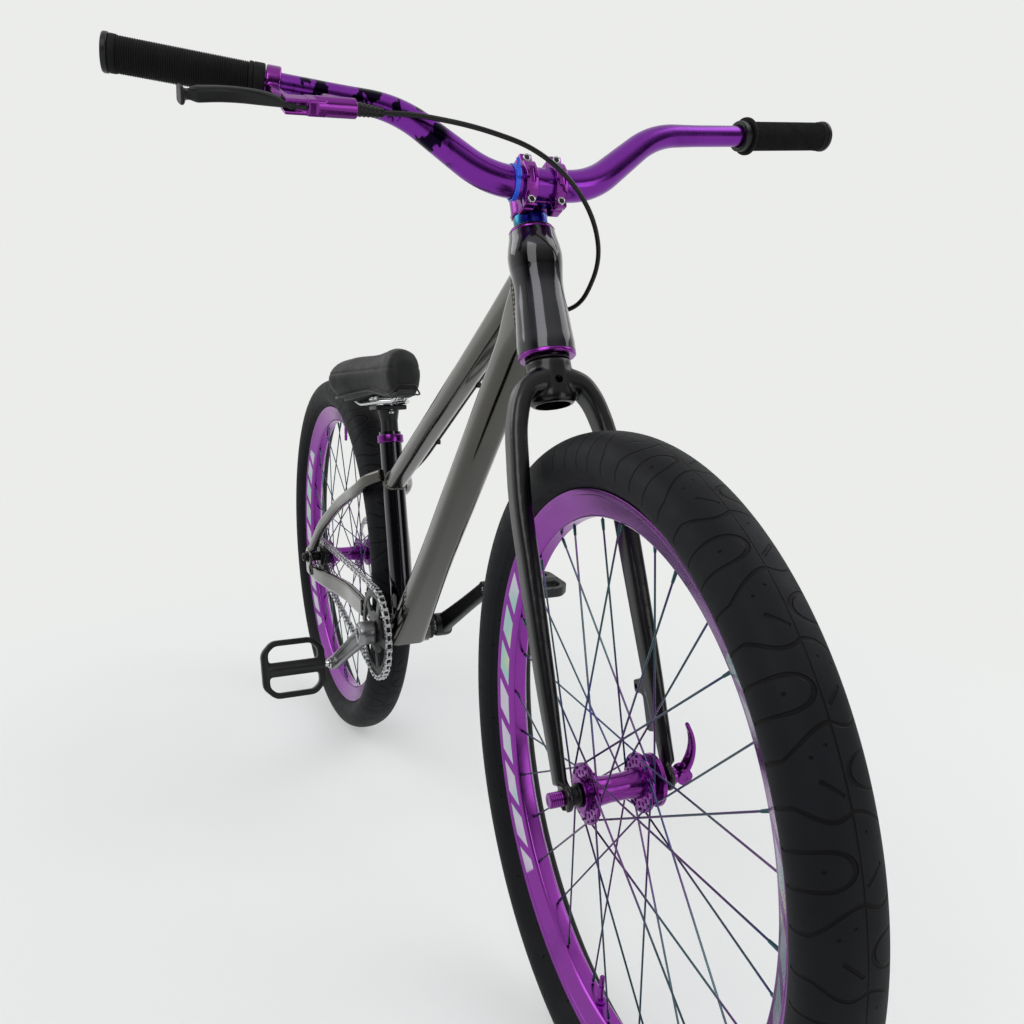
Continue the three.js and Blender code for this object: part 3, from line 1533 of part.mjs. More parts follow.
// The lever's own frame: origin on the bar, -Y outwards, X from the bar to the pivot.
function addBrakeLever() {
  const lever = new THREE.Group();
  const direction = barDirection(-1);
  lever.position.copy(barEnd(-1).addScaledVector(direction, leverClampAt - barHalfWidth));
  lever.quaternion.setFromUnitVectors(vector(0, -1, 0), direction);
  const tilted = new THREE.Group();
  tilted.rotation.y = leverTilt * degree;
  lever.add(tilted);
  frontEnd.add(lever);

  const barFit = boreFor(barEndDiameter / 2);
  const pivot = vector(leverPivotReach, leverPivotIn, 0);
  const inwards = (lean) => vector(-Math.sin(lean * degree), Math.cos(lean * degree), 0);
  const onCylinder = (along) => pivot.clone().addScaledVector(inwards(cylinderLean), along);
  const cylinderEnd = onCylinder(cylinderStart + cylinderLength);
  const bootEnd = cylinderEnd.clone().addScaledVector(inwards(bootLean), bootLength);
  const earAt = leverBladeThickness / 2 + runningGap + leverEarWidth / 2;
  const ears = [-1, 1].map((up) => tubeThrough(
    [onCylinder(-leverEarTail), onCylinder(cylinderStart + leverEarWidth)].map((at) => ({
      at: at.setZ(up * earAt),
      section: roundedBox(leverBladeWidth, leverEarWidth, leverEarWidth * edgeShare),
    })),
    vector(1, 0, 0),
  ));
  const pinHalf = earAt + leverEarWidth / 2;
  const pin = rod(pivot.clone().setZ(-pinHalf), pivot.clone().setZ(pinHalf), leverPinRadius);
  const body = join(
    disc(leverClampRadius, -leverClampWidth / 2, leverClampWidth / 2),
    rod(vector(0, 0, 0), onCylinder(cylinderStart + cylinderRadius), leverNeckRadius),
    rod(onCylinder(cylinderStart), cylinderEnd, cylinderRadius, roundFacets),
    rod(cylinderEnd, bootEnd, bootRadius, roundFacets, bootTipRadius),
    ...ears,
    pin,
  );
  add(tilted, "brake_lever_body", cut(body, disc(barFit, -barHalfWidth, barHalfWidth)), purple);

  const boss = rod(
    pivot.clone().setZ(-leverBladeThickness / 2),
    pivot.clone().setZ(leverBladeThickness / 2),
    leverBladeWidth / 2,
    roundFacets,
  );
  const path = bladeCurve.map(([x, y]) => pivot.clone().add(vector(x, y, 0)));
  const blade = tubeThrough(path.map((at, i) => {
    const width = i + 1 < path.length ? leverBladeWidth : leverBladeWidth / 2;
    return { at, section: roundedBox(width, leverBladeThickness, leverBladeThickness * edgeShare) };
  }), vector(1, 0, 0));
  const bore = rod(
    pivot.clone().setZ(-leverBladeWidth),
    pivot.clone().setZ(leverBladeWidth),
    leverPinRadius + seam,
  );
  add(tilted, "brake_lever_blade", cut(join(boss, blade), bore), blackMetal);
}

// Seatpost and saddle
function addSeat() {
  const collarFoot = seatTubeLength - seatCollarHeight - overrun;
  const collar = join(
    seatTubeRod(seatCollarRadius, collarFoot, seatTubeLength - overrun),
    seatBlock(seatCollarEar, seatCollarRadius + seatCollarEar * edgeShare, collarFoot),
  );
  const opening = seatTubeRod(seatTubeTopRadius + seatCollarFit, 0, seatTubeLength + overrun);
  add(bicycle, "seat_clamp", cut(collar, opening), purple);

  const postTop = seatTubeLength + seatPostShown;
  const cradleAt = onSeatTube(postTop);
  const saddle = new THREE.Group();
  saddle.position.copy(cradleAt).addScaledVector(seatUp, cradleHeight + railRadius);
  saddle.rotation.y = -saddleTilt * degree;
  saddle.updateMatrix();
  bicycle.add(saddle);
  const cradleTop = -railRadius - seam;
  const cradleWidth = 2 * (railSpread + railRadius);
  const cradle = block(cradleLength, cradleWidth, cradleHeight, 0, 0, cradleTop - cradleHeight / 2);
  const boltHoles = [-1, 1].map((end) => {
    const hole = discUp(clampBoltRadius + seam, -clampBoltReach, cradleHeight, smallFacets);
    return hole.translate(end * clampBoltSpread, 0, 0);
  });
  const post = seatTubeRod(seatPostRadius, seatTubeLength - seatPostInsertion, postTop + cradleHeight / 2);
  const inPlace = (geometry) => geometry.applyMatrix4(saddle.matrix);
  add(bicycle, "seatpost", cut(join(post, inPlace(cradle)), ...boltHoles.map(inPlace)), blackMetal);

  const lid = join(
    block(cradleLength, cradleWidth, clampLidHeight)
      .translate(0, 0, railRadius + seam + clampLidHeight / 2),
    ...[-1, 1].map((end) => discUp(
      clampBoltRadius,
      cradleTop - cradleHeight,
      railRadius + clampLidHeight / 2,
      smallFacets,
    ).translate(end * clampBoltSpread, 0, 0)),
  );
  add(saddle, "saddle_clamp", lid, silver);
  add(saddle, "saddle_rails", rails(), silver);
  addSaddleTop(saddle);
}

// A block standing on the seat tube's rear face.
function seatBlock(size, behind, rise) {
  const ear = block(size, size, seatCollarHeight, 0, 0, 0).rotateY(seatTubeAngle * degree - Math.PI / 2);
  const at = onSeatTube(rise + seatCollarHeight / 2).addScaledVector(seatForward, -behind);
  return ear.translate(at.x, at.y, at.z);
}

function rails() {
  const half = railPath.map(([x, y, z]) => vector(x, y, z));
  const otherHalf = half.toReversed().map((at) => at.clone().setY(-at.y));
  const path = bentPath([...half, ...otherHalf], railBendLength, hoseSteps);
  const section = circle(railRadius, boltFacets);
  return tubeThrough(path.map((at) => ({ at, section })), vector(0, 0, 1));
}

function saddleRing([x, halfWidth, foot, top], profile) {
  const half = profile.map(([share, rise]) => [share * halfWidth, foot + rise * (top - foot)]);
  const left = half.filter(([y]) => y > 0).toReversed().map(([y, z]) => [-y, z]);
  return [...half, ...left].map(([y, z]) => vector(x, y, z));
}

function addSaddleTop(saddle) {
  const cover = loft(saddleStations.map((station) => saddleRing(station, coverProfile)));
  const inside = (shrink, low, high) => loft(saddleStations.slice(1, -1).map(([x, halfWidth]) => {
    const reach = halfWidth * saddleFootShare - saddleSkirt - shrink;
    return [[reach, low], [reach, high], [-reach, high], [-reach, low]].map(([y, z]) => vector(x, y, z));
  }));
  const pocket = inside(0, -saddleHeight, saddleBaseTop + seam);
  add(saddle, "saddle_cover", cut(cover, pocket), saddleSkin);
  const shrunk = inside(seam, saddleBaseTop - saddleBaseThickness, saddleBaseTop);
  const first = saddleStations[1][0];
  const last = saddleStations[saddleStations.length - 2][0];
  const trim = block(last - first - 2 * seam, saddleWidth, saddleHeight, (first + last) / 2, 0, 0);
  add(saddle, "saddle_base", common(shrunk, trim), blackMetal);
}

// Rear brake
function caliperTab() {
  const tab = block(caliperTabLength, caliperTabThickness, caliperTabHeight);
  const at = fromRearAxle(caliperTabForward, caliperOuter + seam + caliperTabThickness / 2, caliperTabRise);
  return tab.translate(at.x, at.y, at.z);
}

function addRearBrake() {
  const brake = new THREE.Group();
  brake.position.copy(rearAxle);
  brake.rotation.y = -caliperAngle * degree;
  bicycle.add(brake);
  const width = caliperOuter - caliperInner;
  const housing = block(caliperHeight, width, caliperLength, caliperAt, (caliperOuter + caliperInner) / 2, 0);
  const slotHalf = rotorThickness / 2 + padGap + padThickness + seam;
  const slot = disc(rotorRadius + overrun / 2, rotorSpread - slotHalf, rotorSpread + slotHalf, wheelFacets);
  add(brake, "rear_brake_caliper", cut(housing, slot), blackMetal);
  for (const [side, name] of [[-1, "inner"], [1, "outer"]]) {
    const at = rotorSpread + side * (rotorThickness / 2 + padGap + padThickness / 2);
    const pad = block(padHeight, padThickness, padLength, rotorRadius - padHeight / 2, at, 0);
    add(brake, `brake_pad_${name}`, pad, silver);
  }
}

// Brake hose from the lever to the caliper, held by the frame all the way
function brakeHose() {
  const turn = new THREE.Matrix4().makeRotationZ(steerAtRest * degree);
  const inFront = hoseFront.map(([a, y, b]) => vector(a, y, barHeight + b).applyMatrix4(turn));
  const toWorld = new THREE.Matrix4().makeRotationY(headFrame.rotation.y).setPosition(steerFoot);
  const corners = [
    ...inFront.map((at) => at.applyMatrix4(toWorld)),
    ...hoseRear.map(([x, y, z]) => fromRearAxle(x, y, z)),
  ];
  const path = bentPath(corners, hoseBend, hoseSteps);
  return tubeThrough(path.map((at) => ({ at, section: circle(hoseRadius, hoseFacets) })), vector(0, 0, 1));
}

addFrontWheel();
addRearWheel();
addDrive();
addCranks();
addBracket();
const seatEnvelope = addFrameTubes();
addStays(seatEnvelope);
addForkAndHeadset();
addStem();
addCockpit();
addSeat();
addRearBrake();
add(bicycle, "brake_hose", brakeHose(), hoseSkin);

export default bicycle;
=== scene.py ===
"""A dirt jump bicycle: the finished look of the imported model.

Shapes are drawn in millimetres in the frame of what carries them, then set down in metres.
"""
import math

import bmesh
import bpy
import numpy as np
from mathutils import Matrix


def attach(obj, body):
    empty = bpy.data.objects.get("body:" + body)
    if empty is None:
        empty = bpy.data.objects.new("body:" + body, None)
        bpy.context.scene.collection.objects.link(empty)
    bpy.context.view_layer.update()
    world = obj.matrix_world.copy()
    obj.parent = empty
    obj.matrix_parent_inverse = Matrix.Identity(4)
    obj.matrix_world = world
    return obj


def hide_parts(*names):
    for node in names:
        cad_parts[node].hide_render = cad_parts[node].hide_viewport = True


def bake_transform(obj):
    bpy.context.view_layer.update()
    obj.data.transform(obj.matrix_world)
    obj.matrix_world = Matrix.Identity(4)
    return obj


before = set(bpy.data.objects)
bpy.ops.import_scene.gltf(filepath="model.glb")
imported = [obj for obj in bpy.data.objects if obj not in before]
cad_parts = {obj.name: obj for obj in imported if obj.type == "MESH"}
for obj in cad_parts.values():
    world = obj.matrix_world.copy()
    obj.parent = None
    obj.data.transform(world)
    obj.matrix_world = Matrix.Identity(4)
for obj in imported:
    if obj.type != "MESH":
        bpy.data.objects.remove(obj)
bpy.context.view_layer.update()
MM = 0.001

# Sizes shared with the solids
HEAD_ANGLE, STEER, FORK_OFFSET, CROWN_TOP = 71.2, -3.5, 41.0, 428.644
HEAD_BOTTOM, BAR_HEIGHT, STEM_REACH = 436.644, 601.744, 35.6
WHEEL_X, AXLE_Z = 527.0, 337.965
STEER_FOOT = np.array([488.187, 0, 324.752])
BRACKET = np.array([-150.474, 0, 295.965])
SEAT_UP = np.array([-0.209619, 0, 0.977783])
CHAIN_STAY, CHAIN_LINE, PITCH = 378.86, 47.5, 12.7
RING_TEETH, COG_TEETH, RUN_LINKS = 36, 16, 30
CRANK, CRANK_ANGLE = 171.5, 213.3
BAR_END, BAR_BEND = (388, 101.5), (139, 65)
BAR_RADIUS, BAR_CLAMP_RADIUS, BAR_BORE = 11.1, 15.9, 11.6
RELEASE_PIN = 71.1
TYRE_RIB, NIPPLE_CIRCLE = 293.5, 257.5
SEAT_TUBE_TOP, SHELL_RADIUS = 316, 24
TOP_JOINT, STAY_JOINT = 233, 248
SPOKES_A_SIDE, SPOKE_CIRCLE, ROTOR_BOLT_CIRCLE = 16, 26, 21.5
ROTOR_LOW, ROTOR_HIGH = 44, 46
ROTOR_MIDDLE = (ROTOR_LOW + ROTOR_HIGH) / 2
BRACKET_DROP, CALIPER_ANGLE = 42, -20
SADDLE_RISE, SADDLE_TILT = 363.5, -6
POST_FOOT, POST_TOP, POST_RADIUS, COLLAR_FOOT = 206, 356, 13.6, 299
PEDAL_OUT, PEDAL_LIE = 150.5, {"right": 75, "left": 4}
INNER_PLATE, OUTER_PLATE = (2.15, 3.15), (3.35, 4.3)
LEVER_OUT, LEVER_TURN, HOSE_RADIUS = 248.5, 50, 2.5
SIDES = ((-1, "right"), (1, "left"))


# Placing
def shift(x, y, z):
    m = np.eye(4)
    m[:3, 3] = x, y, z
    return m


def turn(axis, degrees):
    m = np.eye(4)
    m[:3, :3] = Matrix.Rotation(math.radians(degrees), 3, axis)
    return m


HEAD = shift(*STEER_FOOT) @ turn("Y", HEAD_ANGLE - 90)
FRONT = HEAD @ turn("Z", STEER)
FRONT_WHEEL = FRONT @ shift(FORK_OFFSET, 0, 0) @ turn("Y", 90 - HEAD_ANGLE)
REAR_WHEEL = shift(-WHEEL_X, 0, AXLE_Z)
DRIVE = REAR_WHEEL @ turn("Y", math.degrees(math.asin(BRACKET_DROP / CHAIN_STAY)))
AT_BRACKET = shift(*BRACKET)
SADDLE = shift(*(BRACKET + SADDLE_RISE * SEAT_UP)) @ turn("Y", SADDLE_TILT)
BRAKE = REAR_WHEEL @ turn("Y", CALIPER_ANGLE)


def moved(shape, matrix):
    verts, faces = shape
    return verts @ matrix[:3, :3].T + matrix[:3, 3], faces


def point(matrix, x, y, z):
    return (matrix @ np.array([x, y, z, 1.0]))[:3]


def both(*shapes):
    """Several shapes as one."""
    verts, faces, count = [], [], 0
    for v, f in shapes:
        verts.append(v)
        faces += [tuple(i + count for i in face) for face in f]
        count += len(v)
    return np.concatenate(verts), faces


# Outlines and paths
def bent(corners, reach, steps=6, closed=False):
    """The corners of a path or an outline, each rounded over this reach."""
    pts = [np.array(c, float) for c in corners]
    out = [] if closed else [pts[0]]
    for i in range(0 if closed else 1, len(pts) if closed else len(pts) - 1):
        back, here, ahead = pts[i - 1], pts[i], pts[(i + 1) % len(pts)]
        a, b = back - here, ahead - here
        la, lb = np.linalg.norm(a), np.linalg.norm(b)
        r = min(reach, la / 2.02, lb / 2.02)
        start, end = here + a / la * r, here + b / lb * r
        for t in np.linspace(0, 1, steps + 1):
            out.append((1 - t) ** 2 * start + 2 * t * (1 - t) * here + t * t * end)
    if not closed:
        out.append(pts[-1])
    return np.array(out)


def spline(points, steps=8):
    """A smooth curve through rows of numbers, timed by how far apart their first three put them."""
    p = np.array(points, float)
    gap = np.maximum(np.linalg.norm(np.diff(p[:, :3], axis=0), axis=1), 1e-6)
    slope = np.diff(p, axis=0) / gap[:, None]
    tangent = np.empty_like(p)
    tangent[0], tangent[-1] = slope[0], slope[-1]
    w = gap[:, None]
    tangent[1:-1] = (slope[:-1] * w[1:] + slope[1:] * w[:-1]) / (w[1:] + w[:-1])
    out = []
    for i, g in enumerate(gap):
        for t in np.linspace(0, 1, steps, endpoint=False):
            out.append((2 * t**3 - 3 * t**2 + 1) * p[i] + (t**3 - 2 * t**2 + t) * g * tangent[i]
                       + (3 * t**2 - 2 * t**3) * p[i + 1] + (t**3 - t**2) * g * tangent[i + 1])
    return np.array(out + [p[-1]])


def circle(radius, n=24, x=0.0, z=0.0):
    a = np.arange(n) * 2 * math.pi / n
    return np.stack([x + radius * np.cos(a), z + radius * np.sin(a)], 1)


def box_section(width, depth, corner, n=5):
    """A rounded rectangle, counterclockwise."""
    r = min(corner, width / 2, depth / 2) * 0.999
    out = []
    for k, (sx, sz) in enumerate(((1, 1), (-1, 1), (-1, -1), (1, -1))):
        for t in np.linspace(0, 90, n):
            a = math.radians(90 * k + t)
            out.append((sx * (width / 2 - r) + r * math.cos(a), sz * (depth / 2 - r) + r * math.sin(a)))
    return np.array(out)


# Shapes
def grid(rings, closed=False):
    """A skin over rings of points, its ends closed or the last ring joined to the first."""
    rings = np.asarray(rings, float)
    n, m = rings.shape[:2]
    faces = []
    for i in range(n if closed else n - 1):
        a, b = i * m, (i + 1) % n * m
        faces += [(a + j, a + (j + 1) % m, b + (j + 1) % m, b + j) for j in range(m)]
    if not closed:
        faces += [tuple(range(m))[::-1], tuple(range((n - 1) * m, n * m))]
    return rings.reshape(-1, 3), faces


def turned(outline, n):
    """Turns a closed outline of (radius, height) about Y."""
    p = np.array(outline)
    a = np.arange(n) * 2 * math.pi / n
    rings = np.stack([np.outer(np.cos(a), p[:, 0]), np.tile(p[:, 1], (n, 1)), np.outer(np.sin(a), p[:, 0])], 2)
    return grid(rings, closed=True)


def lathe(profile, reach=0.6, n=64, up=False, steps=3):
    """Turns an outline of (radius, height) about Y, or about Z, with its corners rounded."""
    p = np.array(profile, float)
    on_axis = p[0][0] == 0
    shape = turned(bent(p, reach, steps, closed=not on_axis) if reach else p, n)
    return moved(shape, turn("X", 90)) if up else shape


def ring(inner, outer, low, high, reach=0.6, n=64, up=False):
    """A plain ring about Y, or about Z, or a disc where inner is 0."""
    return lathe([(inner, low), (outer, low), (outer, high), (inner, high)], reach, n, up)


def tube(path, sections, side=(0, 1, 0), closed=False):
    """A skin through sections along a path, their first axis held towards side."""
    path = np.asarray(path, float)
    if closed:
        travel = np.roll(path, -1, 0) - np.roll(path, 1, 0)
    else:
        travel = np.gradient(path, axis=0)
    travel /= np.linalg.norm(travel, axis=1)[:, None]
    rings = []
    for i, (at, t) in enumerate(zip(path, travel)):
        s = np.array(side, float)
        s -= t * s.dot(t)
        s /= np.linalg.norm(s)
        section = sections[i] if isinstance(sections, list) else sections
        rings.append(at + section[:, :1] * s + section[:, 1:] * np.cross(t, s))
    return grid(rings, closed)


def beam(rows, corner, side=(0, 1, 0), n=5, steps=6):
    """A beam of rounded section through rows of (x, y, z, width, depth)."""
    rows = spline(rows, steps)
    return tube(rows[:, :3], [box_section(w, d, corner, n) for w, d in rows[:, 3:]], side)


def straight_beam(start, way, rows, corner):
    """A straight beam whose rows are (distance from the start, width, depth)."""
    rows = spline([(a, 0, 0, w, d) for a, w, d in rows], 6)
    return tube([start + way * a for a in rows[:, 0]], [box_section(w, d, corner, 7) for w, d in rows[:, 3:]])


def rod(a, b, radius, end=None, n=16):
    a, b = np.array(a, float), np.array(b, float)
    side = (1, 0, 0) if abs(b[0] - a[0]) < abs(b[1] - a[1]) + abs(b[2] - a[2]) else (0, 0, 1)
    return tube([a, b], [circle(radius, n), circle(radius if end is None else end, n)], side)


def rounded(size, at=(0, 0, 0), edge=1.0, steps=3):
    """A block with rounded edges."""
    x, y, z = (s / 2 for s in size)
    rings = []
    for inset, height in [(edge * (1 - math.sin(a)), edge * math.cos(a))
                          for a in np.linspace(0, math.pi / 2, steps + 1)]:
        section = box_section(2 * (x - inset), 2 * (y - inset), max(edge - inset, 0.05), 4)
        rings.append(np.column_stack([section, np.full(len(section), -z + edge - height)]))
    lower = list(rings)
    rings = lower + [r * (1, 1, -1) for r in reversed(lower)]
    return moved(grid(rings), shift(*at))


def plate(outlines, low, high, edge=0.3):
    """A flat plate across Y: the first outline of (x, z) is its rim, the others its holes."""
    curve = bpy.data.curves.new("plate", "CURVE")
    curve.dimensions, curve.fill_mode = "2D", "BOTH"
    curve.extrude, curve.bevel_depth, curve.offset = (high - low) / 2 - edge, edge, -edge
    curve.bevel_resolution = 1
    for outline in outlines:
        s = curve.splines.new("POLY")
        s.points.add(len(outline) - 1)
        s.points.foreach_set("co", [c for x, z in outline for c in (x, z, 0, 1)])
        s.use_cyclic_u = True
    obj = added("plate", curve)
    mesh = bpy.data.meshes.new_from_object(obj.evaluated_get(bpy.context.evaluated_depsgraph_get()))
    v = np.array([v.co for v in mesh.vertices], float)
    faces = [tuple(p.vertices) for p in mesh.polygons]
    bpy.data.objects.remove(obj)
    bpy.data.curves.remove(curve)
    bpy.data.meshes.remove(mesh)
    return np.column_stack([v[:, 0], v[:, 2] + (low + high) / 2, v[:, 1]]), faces


def bolt(radius=4.0, height=3.0, socket=2.0):
    """A socket head along Z with its foot at the origin."""
    return lathe([(0, 0), (radius, 0), (radius, height), (socket + 0.6, height), (socket, height - 0.5),
                  (socket, height - 1.8), (0, height - 1.8)], 0.3, 24, up=True)


def socket_shade_plug(height, socket):
    """Painted shade: a black six sided plug that darkens the bottom of a bolt's socket."""
    return rod((0, 0, height - 1.9), (0, 0, height - 0.6), socket * 1.02, n=6)


# Materials
def feed(node, feeds):
    """Feeds each named or numbered input from a socket, or sets it to a value."""
    for key, value in feeds.items():
        value = getattr(value, "socket", value)
        if isinstance(value, bpy.types.NodeSocket):
            node.id_data.links.new(value, node.inputs[key])
        else:
            node.inputs[key].default_value = value
    return node


def new_node(tree, kind, feeds=None, **settings):
    node = tree.nodes.new(f"ShaderNode{kind}")
    for name, value in settings.items():
        setattr(node, name, value)
    return feed(node, feeds or {})


class Node:
    """A socket that can be reckoned with."""

    def __init__(self, socket):
        self.socket, self.tree = socket, socket.id_data

    def op(self, kind, *others):
        return Node(new_node(self.tree, "Math", dict(enumerate((self, *others))), operation=kind).outputs[0])

    def __add__(self, o):
        return self.op("ADD", o)

    def __sub__(self, o):
        return self.op("SUBTRACT", o)

    def __mul__(self, o):
        return self.op("MULTIPLY", o)

    def __abs__(self):
        return self.op("ABSOLUTE")

    def top(self, o):
        return self.op("MAXIMUM", o)

    def fract(self):
        return self.op("FRACT")

    def ramp(self, low, high):
        """0 below low, 1 above high, smooth between."""
        feeds = {"Value": self, "From Min": low, "From Max": high}
        return Node(new_node(self.tree, "MapRange", feeds, interpolation_type="SMOOTHSTEP").outputs["Result"])

    def line(self, half, soft):
        """1 within half of zero, 0 further out."""
        return abs(self).ramp(half + soft, half - soft)


def linear(code):
    c = [int(code[i:i + 2], 16) / 255 for i in (0, 2, 4)]
    return tuple(v / 12.92 if v <= 0.04045 else ((v + 0.055) / 1.055) ** 2.4 for v in c) + (1.0,)


class Look:
    """A finish under way: its principled shader and what feeds it."""

    def __init__(self, name, slot, color, rough, metal=0.0, **extra):
        self.material = bpy.data.materials.new(name)
        self.material.use_nodes = True
        self.tree = self.material.node_tree
        self.slot, self.paint, self.normal = slot, linear(color), None
        self.shader = feed(self.tree.nodes["Principled BSDF"], {
            "Base Color": self.paint, "Roughness": rough, "Metallic": metal,
            **{key.replace("_", " "): value for key, value in extra.items()}})
        self.place = self.node("TexCoord").outputs["Object"]

    def node(self, kind, feeds=None, **settings):
        return new_node(self.tree, kind, feeds, **settings)

    def axes(self):
        """Object coordinates in millimetres."""
        return [Node(axis) * 1000 for axis in self.node("SeparateXYZ", {0: self.place}).outputs]

    def noise(self, scale, detail=3.0, stretch=None):
        place = self.place
        if stretch:
            place = self.node("Mapping", {"Vector": place, "Scale": stretch}).outputs["Vector"]
        return Node(self.node("TexNoise", {"Vector": place, "Scale": scale, "Detail": detail}).outputs[0])

    def cracks(self, scale):
        """The distance to the edges of a pattern of cells."""
        feeds = {"Vector": self.place, "Scale": scale}
        return Node(self.node("TexVoronoi", feeds, feature="DISTANCE_TO_EDGE").outputs[0])

    def tint(self, share, color):
        """Mixes a colour in where share is 1."""
        feeds = {0: share, 6: self.paint, 7: linear(color)}
        self.paint = self.node("Mix", feeds, data_type="RGBA").outputs[2]
        feed(self.shader, {"Base Color": self.paint})

    def uneven(self, share, low, high):
        """Roughness from low to high as share goes from 0 to 1."""
        node = self.node("MapRange", {"Value": share, "To Min": low, "To Max": high})
        feed(self.shader, {"Roughness": node.outputs["Result"]})

    def relief(self, height, millimetres, strength=1.0):
        feeds = {"Distance": millimetres * MM, "Strength": strength, "Height": height}
        if self.normal:
            feeds["Normal"] = self.normal
        self.normal = self.node("Bump", feeds).outputs["Normal"]
        feed(self.shader, {"Normal": self.normal})


def worn_metal(name, slot, color, rough, metal=1.0, grain=0.05, dark="000000", **extra):
    """A metal with cloudy polish, fine scratches and a little grime."""
    look = Look(name, slot, color, rough, metal, **extra)
    look.uneven(look.noise(38, 5), rough * 0.75, rough * 1.35)
    look.tint(look.noise(14, 4).ramp(0.55, 0.85) * 0.35, dark)
    look.relief(look.noise(900, 2, (1, 1, 0.2)), grain)
    return look


def purple_bar():
    look = worn_metal("purple_bar", "purple_metal", "79309A", 0.22, grain=0.02, dark="2E0E50")
    blot = look.noise(26, 3, (1.0, 1.6, 1.0)) + look.noise(75, 2) * 0.35
    zone = (look.axes()[1] + 165).line(70, 6)
    look.tint(blot.ramp(0.68, 0.71) * zone, "120A1E")
    return look


def rim_look():
    """Purple band with plain shimmering blocks printed on both side faces."""
    look = worn_metal("purple_rim", "purple_metal", "8A3C9C", 0.2, grain=0.02, dark="2E0A40")
    x, y, z = look.axes()
    radius = (x * x + z * z).op("SQRT")
    turns = z.op("ARCTAN2", x) * (1 / math.pi)
    band, half_band, blocks = 273, 6.5, 17
    block = ((turns + 0.483).fract() - 0.5).line(0.24, 0.002) * (radius - band).line(half_band, 0.3)
    inner = ((turns * blocks + radius * 0.03).fract() - 0.5).line(0.36, 0.015)
    shimmer = look.noise(11, 1)
    share = block * inner
    look.tint(share * shimmer.ramp(0.2, 0.45), "C9C2D2")
    look.tint(share * shimmer.ramp(0.45, 0.60), "9FC4BE")
    look.tint(share * shimmer.ramp(0.58, 0.75), "D6CFA0")
    return look


def spoke_look():
    look = worn_metal("slick_spoke", "purple_metal", "42565E", 0.25, grain=0.01)
    x, y, z = look.axes()
    radius = (x * x + z * z).op("SQRT")
    wave = (radius * 0.028).op("SINE") * 0.5 + 0.5
    look.tint(wave.ramp(0.3, 0.7), "3C4468")
    look.tint((look.noise(9, 1) + wave * 0.2).ramp(0.55, 0.75), "553A66")
    return look


def frame_look():
    look = worn_metal("raw_frame", "raw_frame", "3F3E3A", 0.16, grain=0.02, dark="23221F", Coat_Weight=0.7,
                      Coat_Roughness=0.05)
    look.tint(look.noise(3, 2).ramp(0.35, 0.75) * 0.35, "55524A")
    return look


def smoke_look(name):
    return worn_metal(name, "smoked_frame", "232328", 0.18, grain=0.01, dark="08080B", Coat_Weight=1.0,
                      Coat_Roughness=0.04)


def head_look():
    look = smoke_look("smoked_head")
    x, y, z = look.axes()
    look.tint((z - (HEAD_BOTTOM + 97)).line(9.2, 0.3), "07070A")
    return look


def tyre_look():
    look = Look("tyre_tread", "tyre_rubber", "0F1014", 0.6, 0.0, Specular_IOR_Level=0.14)
    x, y, z = look.axes()
    out = abs(y)
    cell, cells_round, first_cell = 55.9, 38, 4.465
    turns = z.op("ARCTAN2", x) * (cells_round / (2 * math.pi)) - first_cell
    turns = turns + y.op("GREATER_THAN", 0.0)
    w = (turns * 0.5).fract() * 2
    near_zero = ((turns * 0.5 + 0.5).fract() * 2 - 1)
    a = (out * (1 / 31)).op("MINIMUM", 1.0)
    within = (x * x + z * z).op("SQRT").ramp(303, 307)
    first = ((near_zero + (a * math.pi).op("SINE") * 0.13 - a * 0.13) * cell).line(1.35, 0.5) * within
    second = ((w - 1 + a * a * 0.33) * cell).line(1.35, 0.5) * within
    middle = y.line(0.6, 0.3)
    s = (w - 1.41) * cell
    v = (out - 24).op("MINIMUM", 0.0)
    arch = (((s * s) * (1 / 156) + (v * v) * (1 / 400)).op("SQRT") * 14 - 14).line(1.3, 0.5) * within
    spots = (((s * s) + (out - 23) * (out - 23)).op("SQRT")).line(1.0, 0.5)
    for at_w, at_out in ((0.76, 8), (0.655, 18.5)):
        q = (w - at_w) * cell
        spots = spots.top(((q * q) + (out - at_out) * (out - at_out)).op("SQRT").line(1.0, 0.5))
    q = w * cell - 10
    across = (q * 0.765 - (out - 3) * 0.645).line(1.3, 0.4)
    dash = across * (q * 0.645 + (out - 3) * 0.765 - 9.15).line(8.8, 0.6)
    grooves = first.top(second).top(middle).top(arch).top(spots).top(dash)
    look.tint(look.noise(22, 4).ramp(0.35, 0.75) * 0.5, "15161A")
    # Painted shade: the tread grooves are darkened almost to black, standing for the shade that falls inside
    # them.
    look.tint(grooves * 0.9, "000000")
    look.uneven(look.noise(60, 4), 0.5, 0.7)
    look.relief(look.noise(1600, 2), 0.08, 0.5)
    look.relief(grooves * -1 + 1, 3.2)
    return look


def grip_look():
    look = Look("grip_rubber", "grip_rubber", "050507", 0.65, 0.0, Specular_IOR_Level=0.25)
    look.uneven(look.noise(90, 3), 0.6, 0.9)
    look.relief(look.noise(1200, 2), 0.1, 0.5)
    return look


def skin_look():
    """Grained synthetic leather."""
    look = Look("saddle_skin", "saddle_skin", "08090B", 0.42, 0.0, Specular_IOR_Level=0.35)
    look.uneven(look.noise(70, 4), 0.42, 0.62)
    look.tint(look.noise(12, 4).ramp(0.45, 0.8) * 0.4, "0E0F12")
    look.relief(look.cracks(650).ramp(0.0, 0.25), 0.12, 0.6)
    look.relief(look.noise(160, 3), 0.25, 0.4)
    return look


def slick_look():
    look = worn_metal("oil_slick", "oil_slick", "1F7A80", 0.2, grain=0.01)
    look.tint(look.noise(30, 1).ramp(0.4, 0.55), "2A3A9C")
    look.tint(look.noise(22, 1).ramp(0.55, 0.7), "1E7A48")
    return look


